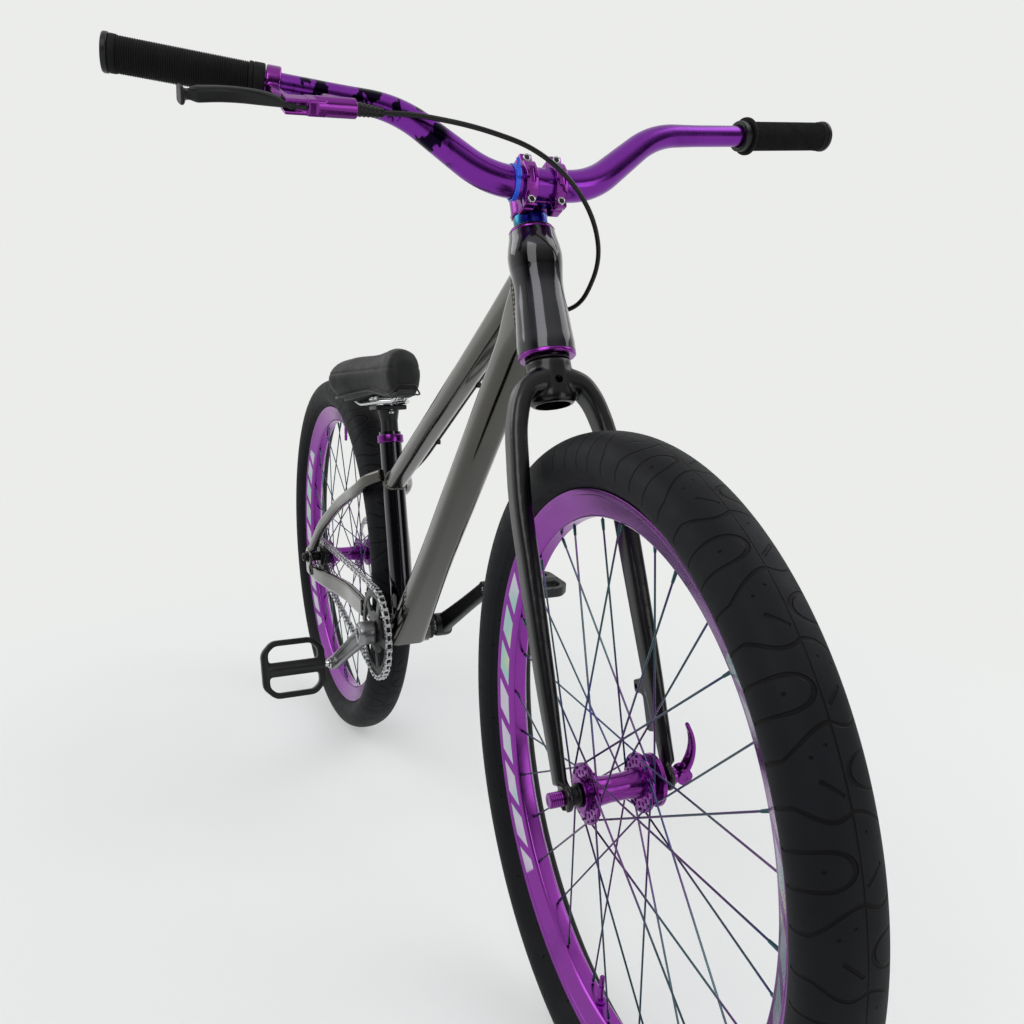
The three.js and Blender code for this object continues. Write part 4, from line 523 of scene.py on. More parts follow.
LOOKS = {
    "purple": worn_metal("purple_anodised", "purple_metal", "80348E", 0.2, grain=0.02, dark="300A46"),
    "bar": purple_bar(),
    "rim": rim_look(),
    "spoke": spoke_look(),
    "nipple": worn_metal("nipple", "purple_metal", "2E4E54", 0.28, grain=0.01),
    "raw": frame_look(),
    "weld": worn_metal("weld_bead", "raw_frame", "5E5C56", 0.3, grain=0.12, dark="55504A"),
    "smoke": smoke_look("smoked_tube"),
    "head": head_look(),
    "gloss": worn_metal("black_gloss", "black_gloss", "050508", 0.3, 0.0, grain=0.01,
                        Specular_IOR_Level=0.3, Coat_Weight=0.25, Coat_Roughness=0.1),
    "black": worn_metal("black_anodised", "black_metal", "08090B", 0.36, 0.3, grain=0.06, dark="000000"),
    "satin": worn_metal("black_satin", "black_metal", "08090B", 0.45, 0.1, grain=0.1),
    "silver": worn_metal("polished_silver", "silver_metal", "C9CACC", 0.22, grain=0.03, dark="6E6E70"),
    "forged": worn_metal("forged_silver", "forged_alloy", "8E8E90", 0.3, grain=0.04, dark="5E5E60"),
    "pin": worn_metal("dark_pin", "silver_metal", "3A3A3E", 0.35, grain=0.02),
    "slick": slick_look(),
    "tyre": tyre_look(),
    "grip": grip_look(),
    "skin": skin_look(),
    "shell": worn_metal("saddle_shell", "saddle_shell", "1A1B1E", 0.55, 0.0, grain=0.1),
    "hose": worn_metal("hose_skin", "hose_skin", "020203", 0.35, 0.0, grain=0.03, Specular_IOR_Level=0.35),
    "tie": worn_metal("tie_plastic", "tie_plastic", "1E56D8", 0.4, 0.0, grain=0.03),
}


# Pieces
def added(name, data):
    """A new object in the scene."""
    obj = bpy.data.objects.new(name, data)
    bpy.context.collection.objects.link(obj)
    return obj


def mesh_of(name, shape):
    verts, faces = shape
    mesh = bpy.data.meshes.new(name)
    mesh.from_pydata((np.asarray(verts) * MM).tolist(), [], faces)
    bm = bmesh.new()
    bm.from_mesh(mesh)
    bmesh.ops.remove_doubles(bm, verts=bm.verts, dist=2e-6)
    bmesh.ops.dissolve_degenerate(bm, edges=bm.edges, dist=1e-6)
    bmesh.ops.recalc_face_normals(bm, faces=bm.faces)
    bm.to_mesh(mesh)
    bm.free()
    return mesh


def settle(obj):
    """Applies the modifiers to the mesh."""
    bpy.context.view_layer.update()
    mesh = bpy.data.meshes.new_from_object(obj.evaluated_get(bpy.context.evaluated_depsgraph_get()))
    old = obj.data
    obj.modifiers.clear()
    obj.data = mesh
    bpy.data.meshes.remove(old)


def carve(obj, *tools, crossing=False):
    """Cuts tools out of a piece; crossing where its own shapes run through each other."""
    for tool in tools:
        cutter = added("cutter", mesh_of("cutter", tool))
        cutter.matrix_world = obj.matrix_world
        mod = obj.modifiers.new("cut", "BOOLEAN")
        mod.operation, mod.solver, mod.object = "DIFFERENCE", "EXACT", cutter
        mod.use_self = crossing
        settle(obj)
        bpy.data.objects.remove(cutter)


def forged(obj, voxel, rounds):
    """Melts a mesh of crossing shapes into one skin."""
    mod = obj.modifiers.new("melt", "REMESH")
    mod.mode, mod.voxel_size = "VOXEL", voxel * MM
    mod = obj.modifiers.new("ease", "SMOOTH")
    mod.factor, mod.iterations = 0.5, rounds
    settle(obj)


def piece(name, shape, look, body, stands_for=None, at=None, cuts=(), melt=None, sharp=35, late_cuts=()):
    obj = added(name, mesh_of(name, shape))
    if at is not None:
        m = at.copy()
        m[:3, 3] *= MM
        obj.matrix_world = Matrix(m.tolist())
    bpy.context.view_layer.update()
    carve(obj, *cuts, crossing=True)
    if melt:
        forged(obj, *melt)
    carve(obj, *late_cuts)
    finish_mesh(obj, look, sharp)
    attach(obj, body)
    if stands_for:
        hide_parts(stands_for)


def finish_mesh(obj, look, sharp):
    obj.data.materials.clear()
    obj.data.materials.append(LOOKS[look].material)
    obj.data.shade_smooth()
    obj.data.set_sharp_from_angle(angle=math.radians(sharp))


# Wheels
def tyre():
    """A fat tyre with a thin moulded rib above the rim."""
    outer = spline([(286.6, 16.9), (289.6, 20.5), (297, 28.6), (309, 33.4), (321, 31.4), (330, 25),
                    (335.4, 15.5), (337.5, 6), (337.85, 0)], 7)
    outer[:, 1] += np.exp(-((outer[:, 0] - TYRE_RIB) / 0.9) ** 2) * 0.8
    half = [(279.9, 13.2), (279.9, 16.6), (286.0, 16.7)] + [tuple(p) for p in outer]
    inner = [(334.2, 0), (327, 21), (309, 29.6), (292, 17)]
    loop = half + [(r, -h) for r, h in reversed(half[:-1])] + [(r, -h) for r, h in reversed(inner[1:])] + inner
    return turned(loop, 288)


def rim():
    half = [(259, 7), (261.5, 9.4), (283, 18), (286, 18.8), (286, 17.1), (279.5, 17.1), (275.5, 10)]
    return lathe([(r, -h) for r, h in half] + half[::-1], 1.0, 240, steps=4)


def on_circle(radius, degrees, y):
    a = math.radians(degrees)
    return np.array([radius * math.cos(a), y, radius * math.sin(a)])


def spot(radius, degrees):
    """A point of a flat outline, by its place round a circle."""
    return on_circle(radius, degrees, 0)[[0, 2]]


def flipped(side):
    """Turns what is drawn for the left over to the right."""
    return turn("X", 180 if side < 0 else 0)


def lacing(right, left, angle):
    """Spokes, nipples and the valve of one wheel."""
    spokes, nipples = [], []
    step, crossing, wire = 360 / SPOKES_A_SIDE, 3, 1.0
    for side, at in ((-1, -right), (1, left)):
        for i in range(SPOKES_A_SIDE):
            lean = 1 if i % 2 == 0 else -1
            offset = step / 2 if side > 0 else 0
            foot = on_circle(SPOKE_CIRCLE, i * step + offset, at + lean * 1.9)
            elbow = on_circle(SPOKE_CIRCLE, i * step + offset, at - lean * 2.6)
            tip = on_circle(NIPPLE_CIRCLE, (i + lean * crossing) * step + offset, side * 3.5)
            away = tip - foot
            away /= np.linalg.norm(away)
            spokes.append(tube([foot, foot + away * 6, tip], circle(wire, 10), (0.3, 0.9, 0.3)))
            spokes.append(rod(foot, elbow, wire, n=10))
            spokes.append(rod(elbow, elbow - np.array([0, lean * 0.9, 0]), 1.9, 1.2, n=12))
            nipples.append(rod(tip - away * 12, tip - away * 1.5, 1.4, 1.8, n=10))
    out = on_circle(1, angle, 0)
    valve = both(
        rod(out * 262, out * 238, 3, n=20), rod(out * 238, out * 225.5, 2.2, n=16),
        rod(out * 257.8, out * 254, 5, n=6), rod(out * 236, out * 226, 2.9, 2.6, n=20),
    )
    return both(*spokes), both(*nipples), valve


def flange(at):
    rim_radius, hole_circle, half = 29, 20.3, 1.7
    holes = [circle(2.1, 12, *spot(hole_circle, (i + 0.5) * 360 / SPOKES_A_SIDE)) for i in range(SPOKES_A_SIDE)]
    return plate([circle(rim_radius, 96), *holes], at - half, at + half, 0.4)


def hub(right, left, left_end, right_end):
    shell = lathe([(5.6, -right_end), (15, -right_end), (15, -right + 3.4), (13, -right / 3), (13, left / 3),
                   (15, left - 3.4), (15, left_end - 4), (5.6, left_end - 4)], 2.0, 64)
    face = lathe([(14, left_end - 4), (25.5, left_end - 4), (26, left_end), (14, left_end)], 0.4, 96)
    lobes = [rod(on_circle(ROTOR_BOLT_CIRCLE, 60 * i, left_end - 4.2),
                 on_circle(ROTOR_BOLT_CIRCLE, 60 * i, left_end + 0.1), 4.4, n=20) for i in range(6)]
    ends = both(*[lathe([(12, s * e), (16.6, s * e), (16.6, s * (e - 3)), (12, s * (e - 3))], 0.5, 64)
                  for s, e in ((-1, right_end), (1, left_end))])
    return both(shell, face, flange(-right), flange(left), *lobes, ends)


def wheel(prefix, at, angle, right, left, left_end, right_end):
    """One wheel: its valve's angle, and how far each flange and each end of the hub stand out."""
    body = f"{prefix}_wheel"
    piece(f"tyre_{prefix}", tyre(), "tyre", body, f"{prefix}_tyre", at, sharp=50)
    piece(f"rim_{prefix}", rim(), "rim", body, f"{prefix}_rim", at)
    piece(f"hub_{prefix}", hub(right, left, left_end, right_end), "purple", body, f"{prefix}_hub", at)
    spokes, nipples, valve = lacing(right, left, angle)
    piece(f"spokes_{prefix}", spokes, "spoke", body, (), at)
    piece(f"nipples_{prefix}", nipples, "nipple", body, (), at)
    piece(f"valve_{prefix}", valve, "purple", body, (), at)


def front_axle():
    half = [(5, 41), (11.5, 41), (11.5, 43.4), (9, 45), (9, 50), (4.7, 50), (4.7, 56), (2.8, 56)]
    shape = lathe([(r, -h) for r, h in reversed(half)] + half, 0.5, 48)
    piece("axle_front", shape, "black", "front_end", "front_axle", FRONT_WHEEL)
    knurl = [(2.8, 57.6), (7.3, 57.6)]
    for i in range(6):
        knurl += [(7.5, 59 + 2 * i), (6.9, 59.6 + 2 * i), (6.9, 60.2 + 2 * i), (7.5, 60.8 + 2 * i)]
    nut = lathe(knurl + [(6.2, 71.6), (2.8, 71.6)], 0.3, 40)
    piece("skewer_nut", moved(nut, turn("X", 180)), "purple", "front_end", "front_skewer_nut", FRONT_WHEEL)
    release = FRONT_WHEEL @ turn("Y", 12)
    skewer = both(
        rod((0, -71.3, 0), (0, 57.9, 0), 2.5), ring(0, 8.5, 57.6, 62.6, 0.6, 48),
        rounded((5, 16, 8.5), (0, 68, 0), 1.2), rod((-7.7, RELEASE_PIN, 0), (7.7, RELEASE_PIN, 0), 2),
    )
    piece("skewer", skewer, "purple", "front_end", "front_skewer", release)
    handle = beam([(0, RELEASE_PIN, 2, 13.4, 7), (0, 76, 14, 13, 6), (0, 77.4, 28, 12, 5),
                   (0, 73.6, 46, 9.4, 4.4), (0, 67, 60, 5.5, 4)], 2.2, (1, 0, 0))
    slots = [rod((-2.8, RELEASE_PIN, 0), (2.8, RELEASE_PIN, 0), 12.4, n=48),
             rounded((4.6, 30, 17), (0, 76, 27), 2), rounded((3.2, 30, 10), (0, 72, 45), 1.5)]
    piece("release_lever", both(rod((-8, RELEASE_PIN, 0), (8, RELEASE_PIN, 0), 8.2, n=48), handle), "purple",
          "quick_release", "quick_release_lever", release, melt=(0.7, 4),
          late_cuts=[*slots, rod((-12, RELEASE_PIN, 0), (12, RELEASE_PIN, 0), 2.3, n=20)])


def rear_axle():
    shape = lathe([(0, -84.5), (5, -84.5), (5, -67.5), (9, -67.5), (9, -53.1), (5, -53.1), (5, 46.6), (9, 46.6),
                   (9, 67.5), (5, 67.5), (5, 84.5), (0, 84.5)], 0.5, 40)
    rings = [lathe([(4.2, s * y), (5.25, s * y), (4.2, s * (y + 0.9))], 0.05, 32) for s in (-1, 1)
             for y in np.arange(83, 84.3, 1.1)]
    piece("axle_rear", both(shape, *rings), "black", "frame", "rear_axle", REAR_WHEEL)
    for side, name in SIDES:
        washer = ring(5.3, 11, 74.6, 76.1, 0.3, 48)
        nut = plate([circle(8.5, 6), circle(5.3, 32)], 76.1, 82.5, 0.5)
        crown = lathe([(5.3, 82.3), (7.2, 82.3), (6.6, 82.6), (5.3, 82.6)], 0.1, 32)
        shape = moved(both(washer, nut, crown), flipped(side))
        piece(f"axle_nut_{name}", shape, "black", "frame", f"rear_axle_nut_{name}", REAR_WHEEL, sharp=25)


def rotor():
    a = np.linspace(0, 2 * math.pi, 181)[:-1]
    r = 69.2 + 0.8 * np.cos(10 * a)
    rim_line = np.stack([r * np.cos(a), r * np.sin(a)], 1)
    holes = [circle(1.25, 10, *spot(r, 12 * i + 4 * k))
             for i in range(30) for k, r in enumerate((59.5, 63, 66.2))]
    band = plate([rim_line, circle(56, 120), *holes], ROTOR_LOW, ROTOR_HIGH, 0.15)
    arms = []
    for i in range(5):
        swing = [on_circle(r, 72 * i + t, ROTOR_MIDDLE) for r, t in ((22, -14), (36, -6), (48, 0), (58, 3))]
        arms.append(tube(spline(swing, 6), box_section(1.9, 6.4, 0.4), (0, 1, 0)))
    centre = plate([circle(26, 72), circle(5.8, 32)], ROTOR_LOW, ROTOR_HIGH, 0.2)
    bolts = [moved(bolt(3.6, 2.2, 1.6),
                   shift(*on_circle(ROTOR_BOLT_CIRCLE, 60 * i, ROTOR_HIGH)) @ turn("X", -90)) for i in range(6)]
    piece("rotor", both(band, centre, *arms, *bolts), "silver", "rear_wheel", "rear_disc_rotor", REAR_WHEEL,
          sharp=30)


# Drive
def pitch_radius(count):
    return PITCH / 2 / math.sin(math.pi / count)


def teeth(count):
    """The outline of a sprocket: rounded roots that a roller fits, and narrow tips."""
    radius = pitch_radius(count)
    out = []
    for i in range(count):
        for share, r in ((0.0, radius - 3.7), (0.16, radius - 3.2), (0.28, radius - 1.2),
                         (0.38, radius + 1.6), (0.45, radius + 3), (0.55, radius + 3), (0.62, radius + 1.6),
                         (0.72, radius - 1.2), (0.84, radius - 3.2)):
            b = (i + share) * 2 * math.pi / count
            out.append((r * math.cos(b), r * math.sin(b)))
    return np.array(out)


def chainring():
    windows = []
    for i in range(5):
        mid = 36 + 72 * i
        outer = [spot(56, mid + t) for t in np.linspace(-28, 28, 15)]
        inner = [spot(34, mid + t) for t in np.linspace(23, -23, 9)]
        windows.append(bent(outer + inner, 3, 3, closed=True))
    gear = plate([teeth(RING_TEETH), *windows, circle(12.3, 48)], -CHAIN_LINE - 1.3, -CHAIN_LINE + 1.3, 0.35)
    lip = ring(58, 62.5, -49.6, -48.2, 0.5, 120)
    shape = moved(both(gear, lip), shift(CHAIN_STAY, 0, 0))
    piece("ring_gear", shape, "black", "cranks", "chainring", DRIVE, sharp=25)


def cog():
    holes = [circle(2.6, 14, *spot(22.5, 45 * i)) for i in range(8)]
    gear = plate([teeth(COG_TEETH), *holes, circle(5.6, 32)], -CHAIN_LINE - 1.3, -CHAIN_LINE + 1.3, 0.35)
    body = lathe([(5.6, -52.5), (17, -52.5), (18, -51.5), (18, -36.3), (5.6, -36.3)], 0.5, 64)
    piece("gear_rear", both(gear, body), "black", "driven_cog", "rear_cog", DRIVE, sharp=25)


def chain_pins():
    large, small = pitch_radius(RING_TEETH), pitch_radius(COG_TEETH)
    pins = []

    def wrap(centre, radius, count, start):
        for i in range(count // 2 + 1):
            b = start - i * 2 * math.pi / count
            pins.append((centre + radius * math.cos(b), radius * math.sin(b)))

    def run(a, b):
        for i in range(1, RUN_LINKS):
            t = i / RUN_LINKS
            pins.append((a[0] + (b[0] - a[0]) * t, a[1] + (b[1] - a[1]) * t))

    wrap(CHAIN_STAY, large, RING_TEETH, math.pi / 2)
    run((CHAIN_STAY, -large), (0, -small))
    wrap(0, small, COG_TEETH, -math.pi / 2)
    run((0, small), (CHAIN_STAY, large))
    return np.array(pins)


def chain():
    pins = chain_pins()
    plates, rollers, rivets = [], [], []
    for i, pin in enumerate(pins):
        ahead = pins[(i + 1) % len(pins)]
        gap = ahead - pin
        angle = math.degrees(math.atan2(gap[1], gap[0]))
        length = np.linalg.norm(gap)
        here = DRIVE @ shift(pin[0], -CHAIN_LINE, pin[1]) @ turn("Y", -angle)
        a = np.linspace(math.radians(68), math.radians(292), 9)
        left = [(4.15 * math.cos(t), 4.15 * math.sin(t)) for t in a]
        right = [(length - x, -z) for x, z in left]
        outline = np.array(left + [(length / 2, -2.9)] + right + [(length / 2, 2.9)])
        low, high = OUTER_PLATE if i % 2 == 0 else INNER_PLATE
        for side in (-1, 1):
            flat = [np.column_stack([outline[:, 0], np.full(len(outline), side * y), outline[:, 1]])
                    for y in (low, high)]
            plates.append(moved(grid(flat), here))
        rollers.append(moved(ring(0, 3.5, -2.1, 2.1, 0, 14), here))
        rivets.append(moved(lathe([(0, -4.75), (1.7, -4.75), (1.85, -4.3), (1.85, 4.3), (1.7, 4.75), (0, 4.75)],
                                  0, 12), here))
    piece("chain_plates", both(*plates), "silver", "frame", "chain", sharp=30)
    piece("chain_rollers", both(*rollers), "silver", "frame", sharp=30)
    piece("chain_rivets", both(*rivets), "pin", "frame", sharp=30)


def crank(side, name):
    arm = beam([(0, 65, 0, 35, 15.5), (20, 66.2, 0, 31, 14.5), (60, 70.4, 0, 28, 13.6),
                (120, 76.1, 0, 25, 13.2), (CRANK, 81, 0, 24, 13.6)], 4.6, (0, 0, 1))
    boss = lathe([(0, 49.6), (17.6, 49.6), (18.8, 53), (18.8, 70), (17, 76.6), (0, 76.6)], 2.5, 48)
    eye = moved(ring(0, 12, 74.2, 87.8, 1.5, 48), shift(CRANK, 0, 0))
    dip = tube([(27, 74.6, 0), (60, 77.8, 0), (120, 83.2, 0), (151, 86, 0)],
               [box_section(w, 9.4, 3.2) for w in (10, 17, 13.5, 9)], (0, 0, 1))
    spindle_hole = rod((0, 40, 0), (0, 120, 0), 12.3, n=48)
    dish = ring(0, 14.6, 73.5, 80, 0.4, 48)
    pedal_hole = rod((CRANK, 60, 0), (CRANK, 110, 0), 7.3, n=40)
    angle = CRANK_ANGLE + (180 if side > 0 else 0)
    round_to = turn("Y", -angle) @ flipped(side)
    cuts = [moved(s, round_to) for s in (dip, dish)]
    late = [moved(s, round_to) for s in (spindle_hole, pedal_hole)]
    piece(f"crank_{name}", moved(both(arm, boss, eye), round_to), "forged" if side < 0 else "black", "cranks",
          f"crank_arm_{name}", AT_BRACKET, cuts=cuts, melt=(1.0, 4), late_cuts=late)
    cap = lathe([(0, 73.6), (10.6, 73.6), (10.6, 75.2), (4.6, 75.2), (4.6, 74.2), (0, 74.2)], 0.4, 40)
    piece(f"crank_bolt_{name}", moved(cap, round_to), "black", "cranks", (), AT_BRACKET)
    at = AT_BRACKET @ shift(*on_circle(CRANK, angle, 0))
    stub = lathe([(0, 74.6), (2.8, 74.6), (2.8, 76), (7, 76), (7, 88.4), (9, 88.4), (9, 91.3), (6.4, 92.4),
                  (5.2, 97), (5, 190), (0, 190)], 0.4, 40)
    piece(f"pedal_spindle_{name}", moved(stub, round_to), "silver", "cranks", f"pedal_axle_{name}", at)
    pedal(side, name, at)


def pedal(side, name, at):
    rim_line = bent([(-30, -52.5), (30, -52.5), (49, -34), (49, 34), (30, 52.5), (-30, 52.5), (-49, 34),
                     (-49, -34)], 9, 6, closed=True)
    windows = [bent([(s * 12, -41), (s * 29, -41), (s * 39.5, -30), (s * 39.5, 30), (s * 29, 41), (s * 12, 41)],
                    6, 5, closed=True) for s in (-1, 1)]
    body = moved(plate([rim_line, *windows], -7, 7, 1.6), turn("X", -90))
    spine = lathe([(0, -52.2), (8.6, -52.2), (9.8, -46), (9.8, -20), (8.6, 0), (8.6, 36), (7, 51.5), (0, 51.5)],
                  2, 40)
    places = [(0, 48.8)] + [(x, y) for x in (-26, 26) for y in (-48.3, 48.3)]
    places += [(x, y) for x in (-44.8, 44.8) for y in (-20, 0, 20)]
    pins = [rod((x, y, -7.5), (x, y, 7.5), 1.6, n=12) for x, y in places]
    lie = turn("Y", PEDAL_LIE[name]) @ flipped(side)
    shape = moved(both(body, spine, *pins), lie @ shift(0, PEDAL_OUT, 0))
    bore = moved(rod((0, 90, 0), (0, 197, 0), 5.7, n=32), lie)
    piece(f"platform_{name}", shape, "satin", f"{name}_pedal", f"pedal_{name}", at, cuts=[bore])


def bracket():
    shell = ring(19, SHELL_RADIUS, -36.5, 36.5, 0.8, 64)
    piece("bracket_shell", shell, "raw", "frame", "bottom_bracket_shell", AT_BRACKET)
    for side, name in SIDES:
        cup = lathe([(12.6, 28.5), (18.7, 28.5), (18.7, 36.8), (21, 36.8), (21, 43.6), (19.6, 45), (12.6, 45)],
                    0.6, 64)
        notches = [moved(rod((21.6, 38, 0), (21.6, 47, 0), 2.1, n=16), turn("Y", 22.5 * i)) for i in range(16)]
        piece(f"bracket_cup_{name}", moved(cup, flipped(side)), "black", "frame", f"bottom_bracket_cup_{name}",
              AT_BRACKET, cuts=[moved(both(*notches), flipped(side))])
    piece("spindle", ring(10, 12, -76.7, 76.7, 0.4, 48), "silver", "cranks", "crank_spindle", AT_BRACKET)


# Frame
HEAD_PROFILE = [(30.4, 0), (30.4, 8), (29.4, 20), (27.6, 44), (26.2, 62), (26.0, 72), (26.8, 82), (28.2, 94),
                (28.6, 104), (27.4, 113), (25.4, 122), (24.3, 128.4)]


def head_tube():
    outer = [(r, HEAD_BOTTOM + h) for r, h in spline(HEAD_PROFILE, 5)]
    shape = lathe([(21, HEAD_BOTTOM), *outer, (21, outer[-1][1])], 0, 96, up=True)
    piece("head_tube_skin", shape, "head", "frame", "head_tube", HEAD, sharp=50)


def on_head(rise):
    return point(HEAD, 0, 0, HEAD_BOTTOM + rise)


def bead(loop, radius):
    """A rippled weld along a closed loop of points."""
    ripple = 5.0
    loop = np.asarray(loop)
    gaps = np.linalg.norm(np.roll(loop, -1, 0) - loop, axis=1)
    run = np.concatenate([[0], np.cumsum(gaps)])
    steps = int(run[-1] / 1.2)
    at = np.linspace(0, run[-1], steps, endpoint=False)
    closed = np.vstack([loop, loop[:1]])
    path = np.stack([np.interp(at, run, closed[:, k]) for k in range(3)], 1)
    sections = [circle(radius * (0.92 + 0.16 * abs(math.sin(math.pi * s / ripple))), 10) for s in at]
    return tube(path, sections, (0.13, 0.21, 0.97), closed=True)


def meeting(start, direction, section, inside):
    """Where the lines of a tube's section first go inside another body."""
    t = np.array(direction, float) / np.linalg.norm(direction)
    s = np.array([0, 1.0, 0])
    s -= t * s.dot(t)
    s /= np.linalg.norm(s)
    up = np.cross(t, s)
    loop = []
    for a, b in section:
        at = start + a * s + b * up
        low, high = 0.0, np.linalg.norm(direction)
        if not inside(at + t * high):
            continue
        for _ in range(24):
            mid = (low + high) / 2
            low, high = (low, mid) if inside(at + t * mid) else (mid, high)
        loop.append(at + t * high)
    return loop


def in_head(p):
    local = np.linalg.inv(HEAD) @ np.append(p, 1)
    rise = local[2] - HEAD_BOTTOM
    r = np.interp(rise, [h for _, h in HEAD_PROFILE], [r for r, _ in HEAD_PROFILE])
    return math.hypot(local[0], local[1]) < r


def in_seat_tube(p):
    d = p - BRACKET
    along = d.dot(SEAT_UP)
    return np.linalg.norm(d - along * SEAT_UP) < 18.6 - 1.1 * along / SEAT_TUBE_TOP


def in_shell(p):
    return math.hypot(p[0] - BRACKET[0], p[2] - BRACKET[2]) < SHELL_RADIUS


DOWN_ANGLE, DOWN_DROP = math.radians(47.5), 12
DOWN_FOOT = BRACKET + DOWN_DROP * np.array([math.sin(DOWN_ANGLE), 0, -math.cos(DOWN_ANGLE)])


def frame_tubes():
    head_core = rod(on_head(-20), on_head(160), 22.2, n=64)
    shell_core = rod(BRACKET - [0, 60, 0], BRACKET + [0, 60, 0], 21, n=64)
    seat_core = rod(BRACKET, BRACKET + SEAT_UP * 330, 16.4, n=48)
    down_head = on_head(67)
    length = np.linalg.norm(down_head - DOWN_FOOT)
    way = (down_head - DOWN_FOOT) / length
    shape = straight_beam(DOWN_FOOT, way, [
        (0, 62, 36), (60, 57, 36.5), (length / 3, 46.5, 37), (length / 2, 46, 37), (length - 110, 46, 37),
        (length - 70, 46, 40), (length - 34, 45.5, 56), (length - 12, 43, 64)], 14)
    piece("tube_down", shape, "raw", "frame", "down_tube", cuts=[head_core, shell_core, seat_core], sharp=45)
    welds = [bead(meeting(down_head - way * 90, way * 90, box_section(46.5, 64, 14, 14), in_head), 2.3)]
    foot = BRACKET + SEAT_UP * TOP_JOINT
    head = on_head(92)
    length = np.linalg.norm(head - foot)
    way = (head - foot) / length
    rows = [(0, 31, 27), (length / 2, 33, 27.5), (length - 90, 35, 30), (length, 36, 34)]
    shape = straight_beam(foot, way, rows, 11)
    piece("tube_top", shape, "raw", "frame", "top_tube", cuts=[head_core, seat_core], sharp=45)
    welds.append(bead(meeting(head - way * 60, way * 60, box_section(36, 34, 11, 12), in_head), 2.1))
    welds.append(bead(meeting(foot + way * 60, -way * 60, box_section(31, 27, 11, 12), in_seat_tube), 2.1))
    upright = tube([BRACKET + SEAT_UP * a for a in (0, 100, 200, SEAT_TUBE_TOP)],
                [circle(r, 64) for r in (18.5, 18.2, 17.8, 17.4)])
    piece("tube_seat", upright, "smoke", "frame", "seat_tube",
          cuts=[rod(BRACKET, BRACKET + SEAT_UP * 340, 13.9, n=48), shell_core])
    welds.append(bead(meeting(BRACKET + SEAT_UP * 60, -SEAT_UP * 60, circle(18.6, 72), in_shell), 2.2))
    piece("weld_beads", both(*welds), "weld", "frame", sharp=60)


def slab(side, face, thickness):
    """The two sides of a plate whose inner face is this far out to one side."""
    low = face if side > 0 else -face - thickness
    return low, low + thickness


def stays():
    rear = np.array([-WHEEL_X, 0, AXLE_Z])
    for side, name in SIDES:
        def at(x, y, z):
            return rear + [x, side * y, z]

        rows = [(-12, 64, -28.5, 12, 24), (14, 64, -28.5, 12, 26), (70, 59, -27.5, 12.6, 29),
                (130, 50, -26, 13, 32), (190, 44, -24.5, 13, 34), (250, 43.5, -24.5, 13, 34),
                (296, 43.5, -24.5, 12, 32)]
        stay = beam([(*at(*r[:3]), *r[3:]) for r in rows], 4.6)
        yoke = tube([at(280, 39.5, -24.5), at(291, 39.5, -24.5), at(322, 38.5, -28.5), at(345, 34, -36),
                     at(363, 29, -41)], box_section(7, 26, 2.5))
        hook_line = bent([*[spot(19, t) for t in np.linspace(-62, 196, 24)], (-15, -32), (17, -33)], 2, 2,
                         closed=True)
        hook = moved(plate([hook_line, circle(5.3, 32)], *slab(side, 67.8, 6.5), 0.8), shift(*rear))
        root = rounded((26, 12, 14), at(0, 68, -27.5), 3)
        hole = moved(rod((0, -140, 0), (0, 140, 0), 5.4, n=32), shift(*rear))
        shell = rod(BRACKET - [0, 60, 0], BRACKET + [0, 60, 0], SHELL_RADIUS + 0.4, n=64)
        piece(f"stay_low_{name}", both(stay, yoke, hook, root), "raw", "frame", f"chainstay_{name}",
              melt=(1.5, 5), late_cuts=[hole, shell])
        path = [(4, 66.8, 13, 13, 18), (30, 62.5, 42, 13, 19), (60, 58.5, 70, 13, 20), (105, 53, 99, 13, 20),
                (150, 48, 125, 13, 20), (205, 45, 148, 13, 20), (262, 42, 170, 13, 20)]
        last = BRACKET + SEAT_UP * STAY_JOINT - rear
        path += [((262 + last[0]) / 2, 35, (170 + last[2]) / 2 + 2, 13, 20), (last[0], 18, last[2], 13, 20)]
        shape = beam([(*at(*r[:3]), *r[3:]) for r in path], 5)
        if side > 0:
            shape = both(shape, rounded((30, 6.5, 48), at(64, 56.9, 38), 2.4),
                         rounded((44, 9, 12), at(62, 56.9, 62), 3))
        clear = moved(rod((0, -140, 0), (0, 140, 0), 19.8, n=64), shift(*rear))
        seat_core = rod(BRACKET, BRACKET + SEAT_UP * 330, 16.6, n=48)
        piece(f"stay_high_{name}", shape, "raw", "frame", f"seatstay_{name}", melt=(1.5, 4),
              late_cuts=[clear, seat_core])
        a, b = (at(*row[:3]) for row in path[-2:])
        bridge = meeting(a, b - a, box_section(13, 20, 5, 10), in_seat_tube)
        if len(bridge) > 20:
            piece(f"weld_stay_{name}", bead(bridge, 1.9), "weld", "frame", sharp=60)


